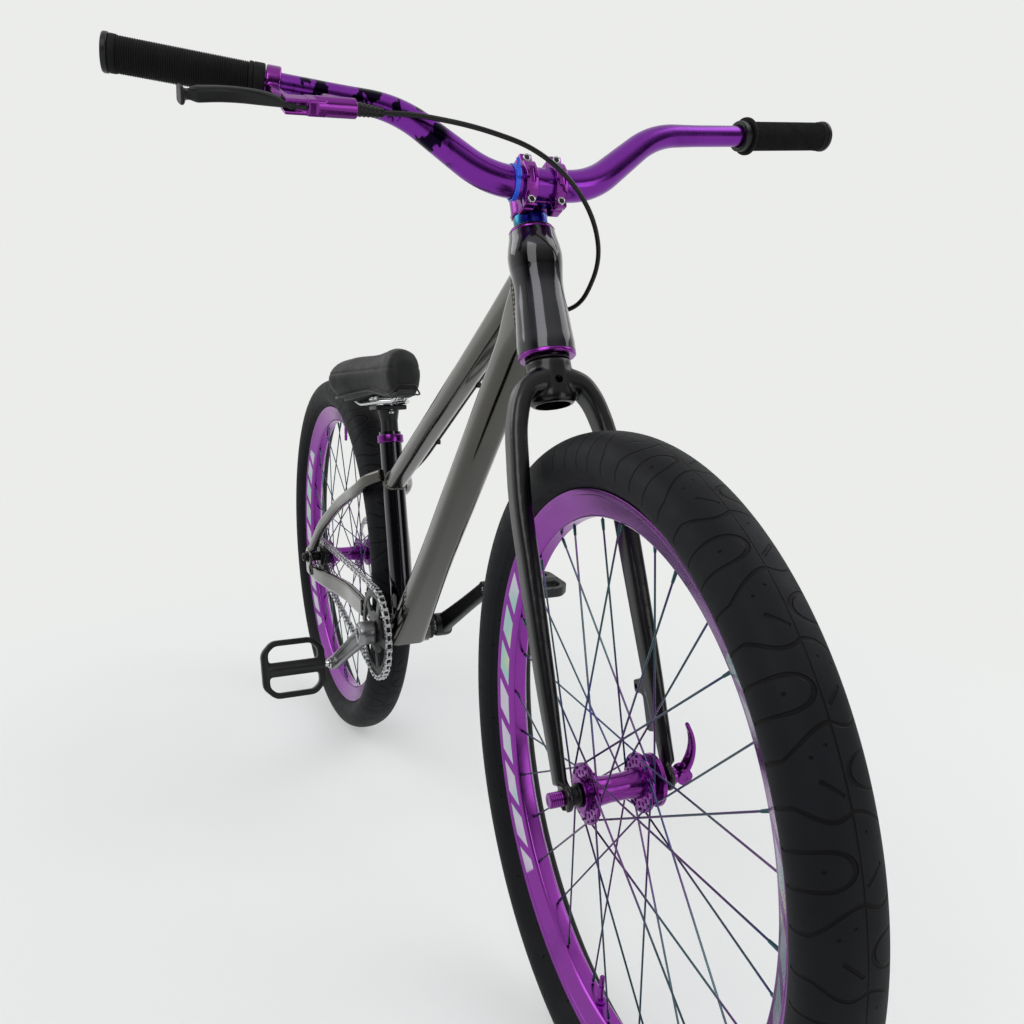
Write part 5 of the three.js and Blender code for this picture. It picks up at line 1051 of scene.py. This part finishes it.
# Fork, headset, stem
def fork():
    path = [(406, 4, 26, 27), (405, 18, 24, 29), (400, 29, 22, 30), (388, 38, 20, 30), (365, 46, 19, 29),
            (325, 51.5, 19, 28.5), (284, 55, 19, 28), (223, 56, 18.5, 27.5), (150, 56.6, 17.5, 26),
            (88, 57, 16, 24), (40, 57.3, 13, 21), (12, 57.5, 12, 19)]
    parts = []
    for side in (-1, 1):
        rows = spline([(6 + 35 * (1 - z / CROWN_TOP), side * y, z, w, d) for z, y, w, d in path], 5)
        parts.append(tube(rows[:, :3], [box_section(d, w, 7.5, 6) for w, d in rows[:, 3:]], (1, 0, 0)))
        parts.append(moved(ring(0, 14, *slab(side, 50.3, 7), 1, 48), shift(FORK_OFFSET, 0, 0)))
    crown = lathe([(0, CROWN_TOP - 46), (22.5, CROWN_TOP - 46), (24, CROWN_TOP - 40), (24, CROWN_TOP - 1),
                   (23.5, CROWN_TOP), (0, CROWN_TOP)], 1.2, 64, up=True)
    tab_rise = 88
    tab = both(rounded((28, 9, 15), (14, 55, tab_rise), 2), rounded((20, 5.5, 56), (21, 56, 70), 2))
    tube_bore = rod((0, 0, CROWN_TOP - 60), (0, 0, CROWN_TOP - 12), 18.4, n=48)
    hole = rod((5, 0, CROWN_TOP - 24), (48, 0, CROWN_TOP - 24), 4.2, n=32)
    slot = rounded((10, 140, 40), (FORK_OFFSET, 0, -20), 0.1)
    slot_top = rod((FORK_OFFSET, -70, 0), (FORK_OFFSET, 70, 0), 5.01, n=32)
    tab_hole = rod((7, 40, tab_rise), (7, 80, tab_rise), 3, n=24)
    piece("fork_legs", both(crown, *parts, tab), "gloss", "front_end", "fork", FRONT, melt=(1.5, 14),
          late_cuts=[tube_bore, hole, slot, slot_top, tab_hole], sharp=45)
    steerer = lathe([(17, CROWN_TOP - 3), (18, CROWN_TOP - 3), (18, CROWN_TOP + 10), (14.3, CROWN_TOP + 70),
                     (14.3, BAR_HEIGHT + 16), (11.5, BAR_HEIGHT + 16), (11.5, CROWN_TOP + 70),
                     (15, CROWN_TOP + 8)], 0.3, 64, up=True)
    piece("steerer", steerer, "silver", "front_end", (), FRONT)
    race = lathe([(18, CROWN_TOP), (23.5, CROWN_TOP), (23.5, CROWN_TOP + 1.6), (21, CROWN_TOP + 2.6),
                  (18, CROWN_TOP + 2.6)], 0.3, 64, up=True)
    piece("crown_race", race, "black", "front_end", (), FRONT)
    lower = lathe([(20.2, 431.9), (28.6, 431.9), (30.3, 433.2), (30.3, 436.4), (20.7, 436.4), (20.7, 448),
                   (20.2, 448)], 0.4, 96, up=True)
    piece("cup_lower", lower, "purple", "frame", "headset_lower_cup", HEAD)
    upper = lathe([(20.2, 556), (20.7, 556), (20.7, 565.3), (24.3, 565.3), (24.3, 567.2), (23.4, 567.9),
                   (20.2, 567.9)], 0.3, 96, up=True)
    piece("cup_upper", upper, "purple", "frame", "headset_upper_cup", HEAD)
    cover = lathe([(14.6, 562), (18.4, 562), (18.4, 568.4), (23.2, 568.4), (22.6, 569.8), (18.6, 570.8),
                   (14.6, 570.8)], 0.5, 96, up=True)
    piece("dust_cover", cover, "gloss", "front_end", "headset_cover", FRONT)
    spacer = ring(14.6, 17.9, 571, 583.3, 0.5, 64, up=True)
    piece("spacer", spacer, "slick", "front_end", "headset_spacer", FRONT)


def stem():
    z, x = BAR_HEIGHT, STEM_REACH
    clamp = ring(14.6, 19.5, z - 18, z + 18, 1.2, 64, up=True)
    body = rounded((34, 30, 34), (17, 0, z), 4)
    rear_lug = rounded((13, 14, 30), (-19.5, 0, z), 2.5)
    ears = [rounded((15, 13, 53.4), (27.8, s * 16, z), 2.2) for s in (-1, 1)]
    bore = rod((x, -50, z), (x, 50, z), 16.2, n=64)
    steerer = rod((0, 0, z - 40), (0, 0, z + 40), 14.6, n=64)
    windows = [rounded((17, 11, 60), (18, 0, z), 4), rounded((20, 60, 15), (18, 0, z + 3), 4),
               rounded((30, 1.4, 60), (-22, 0, z), 0.3)]
    relief = [rounded((9, 8, 9), (20.5, s * 24.5, z + u * 20), 2) for s in (-1, 1) for u in (-1, 1)]
    piece("stem_body", both(clamp, body, rear_lug, *ears), "purple", "front_end", "stem", FRONT, melt=(0.8, 2),
          late_cuts=[bore, steerer, *windows, *relief])
    places = [shift(-20.5, -9.4, z + u) @ turn("X", 90) for u in (-9, 9)]
    for side, name in SIDES:
        mid = side * 16.0
        outline = bent([(0.4, -26.4), (9, -26.4), (9.4, -19.5), (16, -15), (21.6, -4), (21.6, 4), (16, 15),
                        (9.4, 19.5), (9, 26.4), (0.4, 26.4), (0.4, 16.2),
                        *[(16.2 * math.cos(t), 16.2 * math.sin(t)) for t in np.linspace(1.53, -1.53, 24)],
                        (0.4, -16.2)], 1.6, 3, closed=True)
        face = moved(plate([outline], mid - 6.4, mid + 6.4, 0.9), shift(x, 0, z))
        dish = [moved(rounded((6, 6.4, 17), (20.6, mid, 0), 1.4), shift(x, 0, z))]
        piece(f"faceplate_{name}", face, "purple", "front_end", f"stem_faceplate_{name}", FRONT, cuts=dish,
              sharp=30)
        for u in (-1, 1):
            places.append(shift(x + 9, mid, z + u * 21.3) @ turn("Y", 90))
    piece("stem_bolts", both(*[moved(bolt(4.0, 2.9, 2.5), m) for m in places]), "silver", "front_end", (),
          FRONT)
    # Painted shade: black plugs in the bolt sockets stand for the shade inside them.
    piece("stem_socket_shade", both(*[moved(socket_shade_plug(2.9, 2.6), m) for m in places]), "gloss", "front_end", (),
          FRONT)
    cap = lathe([(0, z + 14), (11.2, z + 14), (11.2, z + 18.3), (16.5, z + 18.3), (16.2, z + 21),
                 (13, z + 22.4), (5, z + 22.4), (4.6, z + 20), (0, z + 20)], 0.5, 64, up=True)
    top_bolt = moved(bolt(4.2, 2.6, 2.2), shift(0, 0, z + 19.6))
    piece("top_cap", both(cap, top_bolt), "black", "front_end", "stem_top_cap", FRONT)


# Cockpit
def bar_point(side, along, rise):
    sweep = max(0.0, (along - BAR_BEND[0]) / (BAR_END[0] - BAR_BEND[0]))
    return np.array([STEM_REACH - sweep * 22.4, side * along, BAR_HEIGHT + rise])


def bar_way(side):
    d = bar_point(side, *BAR_END) - bar_point(side, *BAR_BEND)
    return d / np.linalg.norm(d)


def turn_between(a, b):
    """The turn that takes direction a to direction b."""
    v, c = np.cross(a, b), float(np.dot(a, b))
    k = np.array([[0, -v[2], v[1]], [v[2], 0, -v[0]], [-v[1], v[0], 0]])
    m = np.eye(4)
    m[:3, :3] = np.eye(3) + k + k @ k / (1 + c)
    return m


def handlebar():
    half = [BAR_END, BAR_BEND, (54, 0)]
    corners = [bar_point(-1, *h) for h in half] + [bar_point(1, *h) for h in reversed(half)]
    path = bent(corners, 30, 12)
    extra = []
    for a, b in zip(path[:-1], path[1:]):
        n = max(1, int(np.linalg.norm(b - a) / 12))
        extra += [a + (b - a) * t / n for t in range(n)]
    path = np.array(extra + [path[-1]])
    sections = []
    for p in path:
        t = np.clip((abs(p[1]) - 36) / (205 - 36), 0, 1)
        t = t * t * (3 - 2 * t)
        sections.append(circle(BAR_CLAMP_RADIUS + (BAR_RADIUS - BAR_CLAMP_RADIUS) * t, 40))
    piece("bar", tube(path, sections, (1, 0, 0)), "bar", "front_end", "handlebar", FRONT, sharp=60)


def grips():
    for side, name in SIDES:
        way = bar_way(side)
        place = FRONT @ shift(*bar_point(side, *BAR_END)) @ turn_between((0, side, 0), way)
        if side < 0:
            place = place @ turn("Z", 180)
        line = [(BAR_BORE, -118.2), (14.6, -118.2)]
        for y in np.arange(-117.4, -10, 1.95):
            line += [(14.6, y), (15.45, y + 0.35), (15.45, y + 1.0), (14.6, y + 1.35)]
        line += [(14.6, -8.6), (15.9, -8.2), (16.1, -3), (15.2, -2.4), (15.2, 0), (BAR_BORE, 0)]
        reach = 20 if side > 0 else 16.2
        lip = [(BAR_BORE, -122), (reach, -122), (reach, -118.2), (BAR_BORE, -118.2)]
        piece(f"grip_sleeve_{name}", both(lathe(line, 0.2, 64, steps=1), lathe(lip, 1.0, 64)), "grip",
              "front_end", f"grip_{name}", place, sharp=50)
        collar = lathe([(BAR_BORE, -132), (15.6, -132), (16.2, -131), (16.2, -123), (15.6, -122.1),
                        (BAR_BORE, -122.1)], 0.4, 64)
        screw = moved(bolt(2.6, 1.6, 1.2), shift(0, -127, 14.9))
        slit = rounded((1.2, 14, 8), (15, -127, 0), 0.2)
        piece(f"grip_collar_{name}", both(collar, screw), "black" if side > 0 else "grip", "front_end", (),
              place, cuts=[slit])
        end = lathe([(0, -2), (16.2, -2), (16.7, -1.2), (16.7, 1.8), (16, 3), (13.5, 3), (13, 2.2), (7.5, 2.2),
                     (7, 2.9), (0, 2.9)], 0.3, 64)
        piece(f"grip_cap_{name}", end, "black", "front_end", (), place)
    tie = ring(16.15, 17.6, -32.5, -27.5, 0.4, 48)
    lock = rounded((6, 5, 8), (19, -30, 0), 1)
    tail = tube([(20, -30, 3), (23, -30.5, 8), (23.5, -31, 13)], box_section(3.6, 1.1, 0.4), (0, 1, 0))
    piece("tie", both(tie, lock, tail), "tie", "front_end", "cable_tie",
          FRONT @ shift(STEM_REACH, 0, BAR_HEIGHT))


def brake_lever():
    way = bar_way(-1)
    origin = bar_point(-1, *BAR_END) + way * (LEVER_OUT - BAR_END[0])
    lever = FRONT @ shift(*origin) @ turn_between((0, -1, 0), way) @ turn("Y", LEVER_TURN)
    pivot = np.array([44, 16.5, 0])

    def inwards(lean):
        a = math.radians(lean)
        return np.array([-math.sin(a), math.cos(a), 0])

    def on_cylinder(along):
        return pivot + inwards(20) * along

    clamp = lathe([(0, -6.5), (15.2, -6.5), (16, -5.6), (16, 5.6), (15.2, 6.5), (0, 6.5)], 0.8, 64)
    neck = tube(spline([(8, 0, 0), (26, 4, 0), (40, 16, 0), tuple(on_cylinder(22))], 6), box_section(11, 13, 4),
                (0, 0, 1))
    lugs = rounded((10, 12, 16), (-17, 0, 0), 2)
    barrel = rod(on_cylinder(22), on_cylinder(60), 9, n=48)
    cap = rod(on_cylinder(20), on_cylinder(25), 7.4, n=48)
    ears = [tube([on_cylinder(-7) + (0, 0, u * 5.3), on_cylinder(28) + (0, 0, u * 5.3)],
                 box_section(13, 3.4, 1), (1, 0, 0)) for u in (-1, 1)]
    ears.append(tube([on_cylinder(14), on_cylinder(30)], box_section(15, 15, 2), (1, 0, 0)))
    tank = rounded((15, 30, 15), on_cylinder(42) + (-5, 0, 0), 4)
    bar_hole = rod((0, -40, 0), (0, 40, 0), BAR_BORE, n=64)
    split = rounded((20, 20, 1.2), (-20, 0, 0), 0.3)
    piece("lever_mount", both(clamp, neck, lugs, barrel, cap, tank, *ears), "purple", "front_end",
          "brake_lever_body", lever, melt=(0.8, 3), late_cuts=[bar_hole, split])
    pins = both(rod(pivot - (0, 0, 7), pivot + (0, 0, 7), 2.4, n=24),
                moved(bolt(2.8, 2, 1.3), shift(-17, 0, 8)))
    piece("lever_pins", pins, "silver", "front_end", (), lever)
    end = on_cylinder(60)
    lean = inwards(6.5)
    ribs, sections = [], []
    for i in range(27):
        ribs.append(end + lean * i)
        sections.append(circle((6.4 - 2.2 * i / 26) + (0.5 if i % 4 < 2 and i < 22 else 0), 24))
    piece("lever_boot", tube(ribs, sections, (0, 0, 1)), "hose", "front_end", (), lever, sharp=40)
    blade = beam([(0, 0, 0, 11, 6), (-2.6, -12, 0, 10, 9.6), (-3, -24, 0, 9.4, 12), (-0.6, -40, 0, 9, 13),
                  (7, -60, 0, 8.8, 13.4), (17, -76, 0, 8.8, 13.6), (24.4, -87.4, 0, 8.8, 13.6),
                  (24.9, -88, 0, 10.4, 15.4), (26, -90, 0, 10.4, 15.4)], 3.4, (1, 0, 0), steps=7)
    blade = moved(blade, shift(*pivot))
    boss = rod(pivot - (0, 0, 3), pivot + (0, 0, 3), 5.5, n=40)
    reach_arm = tube([pivot, pivot + (1, 12, 0), on_cylinder(19)], box_section(6, 4.6, 1.5), (1, 0, 0))
    piece("lever_blade", both(blade, boss, reach_arm), "black", "brake_lever", "brake_lever_blade", lever,
          melt=(0.6, 4), late_cuts=[rod(pivot - (0, 0, 9), pivot + (0, 0, 9), 2.6, n=24)])


def hose():
    front = [(47.35, -156.2, 51.6), (53, -128, 50), (66, -75, 37), (75, -20, 16), (72, 18, -12), (52, 48, -42),
             (18, 66, -72), (-22, 54, -108)]
    rear = [(796, 32, 446), (700, 22, 400), (420, 22, 238), (350, 28, 212), (265, 44, 186), (150, 50, 143),
            (128, 36, 130), (116, 36, 70), (100, 37, 37), (79.6, 37, 29)]
    corners = [point(FRONT, x, y, BAR_HEIGHT + z) for x, y, z in front]
    corners += [np.array([-WHEEL_X + x, y, AXLE_Z + z]) for x, y, z in rear]
    path = spline(bent(corners, 28, 4), 3)
    shape = tube(path, circle(HOSE_RADIUS, 16), (0.05, 0.1, 0.99))
    obj = added("hose_run", mesh_of("hose_run", shape))
    finish_mesh(obj, "hose", 60)
    tuple(corners[8] * MM)
    tuple(corners[3] * MM)
    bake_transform(obj)
    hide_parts("brake_hose")
    start, way = corners[9], corners[10] - corners[9]
    guides = [rounded((9, 7, 7), start + way * t - (0, 0, 2), 1.5) for t in (0.25, 0.8)]
    piece("hose_guides", both(*guides), "black", "frame")


# Seat
def seat():
    up = SEAT_UP

    def along(r):
        return BRACKET + up * r

    post = rod(along(POST_FOOT), along(POST_TOP), POST_RADIUS, n=64)
    cradle = moved(rounded((42, 50, 7.6), (0, 0, -7.8), 2), SADDLE)
    neck = rod(along(POST_TOP - 22), along(POST_TOP - 4), POST_RADIUS, 17, n=48)
    piece("post", both(post, neck, cradle), "black", "seat", "seatpost")
    lids = [rounded((18, 50, 5.6), (s * 12, 0, 6.7), 2) for s in (-1, 1)]
    bolts = [moved(bolt(4, 3, 2), shift(s * 18, 0, -14.6) @ turn("X", 180)) for s in (-1, 1)]
    shanks = [rod((s * 18, 0, -12), (s * 18, 0, 6), 2.6) for s in (-1, 1)]
    barrels = [rod((s * 18, -8, 9), (s * 18, 8, 9), 2.6) for s in (-1, 1)]
    piece("rail_clamp", both(*lids, *bolts, *shanks, *barrels), "silver", "seat", "saddle_clamp", SADDLE)
    half = [(-106, 26, 10.2), (-80, 22, 0), (38, 22, 0), (64, 8, 0), (80, 8, 10.2)]
    path = bent(half + [(x, -y, z) for x, y, z in reversed(half)], 12, 6)
    piece("rails", tube(path, circle(3.5, 20), (0, 0, 1)), "silver", "seat", "saddle_rails", SADDLE)
    collar = ring(17.9, 20.5, 0, 12, 0.8, 64, up=True)
    ears = both(*[rounded((11, 5, 12), (-24.5, s * 4, 6), 1.6) for s in (-1, 1)])
    screw = both(rod((-26, -9, 6), (-26, 9, 6), 2.2),
                 moved(bolt(3.8, 3, 2), shift(-26, -6.4, 6) @ turn("X", 90)),
                 rod((-26, 6, 6), (-26, 9.4, 6), 3.8, n=6))
    lean = math.degrees(math.atan2(up[0], up[2]))
    place = shift(*along(COLLAR_FOOT)) @ turn("Y", lean)
    piece("seat_collar", both(collar, ears, screw), "purple", "frame", "seat_clamp", place,
          cuts=[rounded((12, 2, 20), (-21, 0, 6), 0.3)])


STATIONS = [(-132, 34, 26, 58), (-122, 58, 14, 70), (-106, 72, 8, 77), (-72, 68, 9, 78), (-30, 52, 13, 76),
            (10, 41, 14, 75), (50, 34, 8, 77), (84, 31, 5, 78), (97, 26, 8, 73), (103, 16, 18, 60)]
SECTION = [(0.0, 0.0), (0.62, 0), (0.86, 0.16), (1, 0.42), (0.95, 0.66), (0.74, 0.87), (0.36, 0.97), (0, 1)]


def cover_shape(shrink):
    rows = spline([(x, 0, 0, w, lo, hi) for x, w, lo, hi in STATIONS], 5)
    half = spline(SECTION, 4)
    rings = []
    for x, _, _, w, lo, hi in rows:
        side = [((w - shrink) * a, lo + shrink + b * (hi - lo - 2 * shrink)) for a, b in half]
        loop = side[:-1] + [(-y, z) for y, z in reversed(side[1:])]
        rings.append([(x * (1 - shrink / 110), y, z) for y, z in loop])
    return grid(rings)


def saddle():
    obj = added("cover", mesh_of("cover", moved(cover_shape(2.5), SADDLE)))
    mod = obj.modifiers.new("melt", "REMESH")
    mod.mode, mod.voxel_size = "VOXEL", 4.5 * MM
    settle(obj)
    before = np.array([v.co for v in obj.data.vertices])
    swell(obj, before, 3.5 * MM)
    sub = obj.modifiers.new("fine", "SUBSURF")
    sub.levels = sub.render_levels = 1
    settle(obj)
    press_seams(obj)
    finish_mesh(obj, "skin", 60)
    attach(obj, "seat")
    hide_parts("saddle_cover")
    rows = spline([(x, 0, 0, w, lo) for x, w, lo, _ in STATIONS], 5)
    rim_line = [(x, 0.79 * w, lo + 4.2) for x, _, _, w, lo in rows]
    loop = rim_line + [(x, -y, z) for x, y, z in reversed(rim_line)]
    welt = tube(loop, circle(1.3, 12), (0.1, 0.2, 0.97), closed=True)
    piece("cover_welt", welt, "hose", "seat", (), SADDLE)
    inside = [(x, 0.62 * w - 1, lo) for x, _, _, w, lo in rows[3:-3]]
    rings = []
    for x, y, lo in inside:
        section = box_section(2 * y, 6, 2.5, 4)
        rings.append([(x, a, max(lo, 8) + 1.5 + b) for a, b in section])
    piece("base_shell", grid(rings), "shell", "seat", "saddle_base", SADDLE, sharp=50)


def swell(obj, before, cap):
    """Lets the cover fill out as a stuffed skin, and caps how far it moves."""
    scene = bpy.context.scene
    cloth = obj.modifiers.new("stuffing", "CLOTH")
    cloth.settings.use_pressure = True
    cloth.settings.uniform_pressure_force = 4.0
    cloth.settings.quality = 5
    cloth.settings.effector_weights.gravity = 0
    frames = 20
    cloth.point_cache.frame_start, cloth.point_cache.frame_end = 1, frames
    for n in range(1, frames + 1):
        scene.frame_set(n)
    after = np.array([v.co for v in obj.evaluated_get(bpy.context.evaluated_depsgraph_get()).data.vertices])
    obj.modifiers.clear()
    scene.frame_set(1)
    step = after - before
    far = np.maximum(np.linalg.norm(step, axis=1), 1e-9)
    step *= np.minimum(1, cap / far)[:, None]
    obj.data.vertices.foreach_set("co", (before + step).ravel())
    obj.data.update()


def press_seams(obj):
    """Sewn lines: one round the skirt, one down each flank of the seat, one across the tail."""
    back = np.linalg.inv(SADDLE)
    co = np.array([v.co for v in obj.data.vertices]) / MM
    local = co @ back[:3, :3].T + back[:3, 3]
    stations = np.array(STATIONS)
    width = np.interp(local[:, 0], stations[:, 0], stations[:, 1])
    top = np.interp(local[:, 0], stations[:, 0], stations[:, 3])
    low = np.interp(local[:, 0], stations[:, 0], stations[:, 2])
    rise = (local[:, 2] - low) / (top - low)
    skirt = np.exp(-(((rise - 0.60) * (top - low)) / 1.3) ** 2) * (local[:, 0] > -118)
    flank = np.exp(-((np.abs(local[:, 1]) - 0.5 * width) / 1.4) ** 2) * (rise > 0.6) * (local[:, 0] < 60)
    tail = np.exp(-((local[:, 0] + 96) / 1.5) ** 2) * (rise > 0.5)
    press = np.maximum(np.maximum(skirt, flank), tail)
    core, depth = 40.0, 1.1
    inward = np.column_stack([np.zeros(len(local)), -local[:, 1], core - local[:, 2]])
    inward /= np.maximum(np.linalg.norm(inward, axis=1), 1e-6)[:, None]
    local += inward * press[:, None] * depth
    world = local @ SADDLE[:3, :3].T + SADDLE[:3, 3]
    obj.data.vertices.foreach_set("co", (world * MM).ravel())
    obj.data.update()


# Rear brake
def rear_brake():
    housing = rounded((34, 20.3, 44), (67, 43.15, 0), 4)
    gap = rod((0, 39.9, 0), (0, 50.1, 0), 74, n=96)
    windows = [rounded((12, 30, 20), (63, 43, 0), 3)]
    boss = [moved(lathe([(0, 33.2), (9, 33.2), (10, 34.6), (10, 38), (0, 38)], 0.8, 40), shift(70, -0.2, 0))]
    piece("caliper", both(housing, *boss), "black", "frame", "rear_brake_caliper", BRAKE, cuts=[gap, *windows])
    bolts = [moved(bolt(4.2, 4, 2.2), shift(77, 33.2, z) @ turn("X", 90)) for z in (-15, 15)]
    piece("caliper_bolts", both(*bolts), "silver", "frame", (), BRAKE)
    for side, name in ((-1, "inner"), (1, "outer")):
        y = ROTOR_MIDDLE + side * 2.9
        piece(f"pad_{name}", rounded((16, 2.5, 26), (62, y, 0), 0.8), "satin", f"{name}_pad",
              f"brake_pad_{name}", BRAKE)


wheel("front", FRONT_WHEEL, angle=264.4, right=33, left=24, left_end=40.4, right_end=40.4)
wheel("rear", REAR_WHEEL, angle=84.4, right=30, left=25, left_end=43.7, right_end=36)
front_axle()
rear_axle()
rotor()
chainring()
cog()
chain()
for side, name in SIDES:
    crank(side, name)
bracket()
head_tube()
frame_tubes()
stays()
fork()
stem()
handlebar()
grips()
brake_lever()
hose()
seat()
saddle()
rear_brake()


# Studio
PALE = (0.835, 0.845, 0.83, 1)


def looked_at(tree):
    """1 where the camera looks, itself or by a reflection."""
    rays = new_node(tree, "LightPath").outputs
    return Node(rays["Is Camera Ray"]).top(Node(rays["Is Glossy Ray"]))


def paper_floor(tree):
    """Pale paper that keeps the shadow near the object and runs into the backdrop further off."""
    near = feed(tree.nodes["Principled BSDF"], {"Base Color": (0.93, 0.94, 0.925, 1), "Roughness": 0.85})
    far = new_node(tree, "Emission", {"Color": PALE})
    place = new_node(tree, "TexCoord").outputs["Object"]
    distance = Node(new_node(tree, "VectorMath", {0: place}, operation="LENGTH").outputs["Value"])
    share = (distance.ramp(0.7, 1.9) * 0.6 + 0.4) * looked_at(tree)
    mix = new_node(tree, "MixShader", {0: share, 1: near.outputs[0], 2: far.outputs[0]})
    feed(tree.nodes["Material Output"], {"Surface": mix.outputs[0]})


def backdrop(tree):
    """Soft light from all round, and a pale room whose far end is dim in reflections only."""
    light = feed(tree.nodes["Background"], {"Color": (0.93, 0.95, 1.0, 1), "Strength": 0.55})
    place = new_node(tree, "TexCoord").outputs["Generated"]
    way = new_node(tree, "SeparateXYZ", {0: place}).outputs
    dim = Node(way[0]).ramp(-0.5, 0.4) * Node(way[2]).ramp(0.85, 0.3)
    dim = dim * Node(new_node(tree, "LightPath").outputs["Is Glossy Ray"])
    shade = new_node(tree, "Mix", {0: dim, 6: PALE, 7: (0.03, 0.03, 0.04, 1)}, data_type="RGBA")
    seen = new_node(tree, "Background", {"Color": shade.outputs[2], "Strength": 1.0})
    mix = new_node(tree, "MixShader", {0: looked_at(tree), 1: light.outputs[0], 2: seen.outputs[0]})
    feed(tree.nodes["World Output"], {0: mix.outputs[0]})


def studio():
    scene = bpy.context.scene
    scene.view_settings.view_transform = "Standard"
    floor = bpy.data.meshes.new("floor")
    floor.from_pydata([(-30, -30, 0), (30, -30, 0), (30, 30, 0), (-30, 30, 0)], [], [(0, 1, 2, 3)])
    ground = added("floor", floor)
    paper = bpy.data.materials.new("floor_paper")
    paper.use_nodes = True
    paper_floor(paper.node_tree)
    floor.materials.append(paper)
    scene.world = bpy.data.worlds.new("studio")
    scene.world.use_nodes = True
    backdrop(scene.world.node_tree)
    lamps = (((2.6, -2.2, 3.2), 2.4, 52), ((-2.4, -2.6, 2.6), 2.2, 34), ((0.5, 2.8, 3.0), 2.4, 34),
             ((3.2, 1.6, 1.2), 1.4, 12))
    for i, (at, size, power) in enumerate(lamps):
        light = bpy.data.lights.new(f"lamp_{i}", "AREA")
        light.energy, light.size = power, size
        lamp = added(f"lamp_{i}", light)
        z = np.array(at) - (0, 0, 0.45)
        z /= np.linalg.norm(z)
        x = np.cross((0, 0, 1), z)
        x /= np.linalg.norm(x)
        m = np.eye(4)
        m[:3, 0], m[:3, 1], m[:3, 2], m[:3, 3] = x, np.cross(z, x), z, at
        lamp.matrix_world = Matrix(m.tolist())


def camera():
    """The photo's own view, as it was calibrated."""
    data = bpy.data.cameras.new("camera")
    data.lens, data.sensor_width, data.sensor_fit = 31.9, 36.0, "HORIZONTAL"
    data.shift_x, data.shift_y = -0.0457, 0.0346
    obj = added("camera", data)
    m = np.eye(4)
    m[:3, 0] = 0.451718, 0.891767, 0.026503
    m[:3, 1] = -0.205139, 0.074910, 0.975862
    m[:3, 2] = 0.868256, -0.446251, 0.216775
    m[:3, 3] = 1.2069, -0.4217, 0.7474
    obj.matrix_world = Matrix(m.tolist())
    bpy.context.scene.camera = obj


studio()
camera()
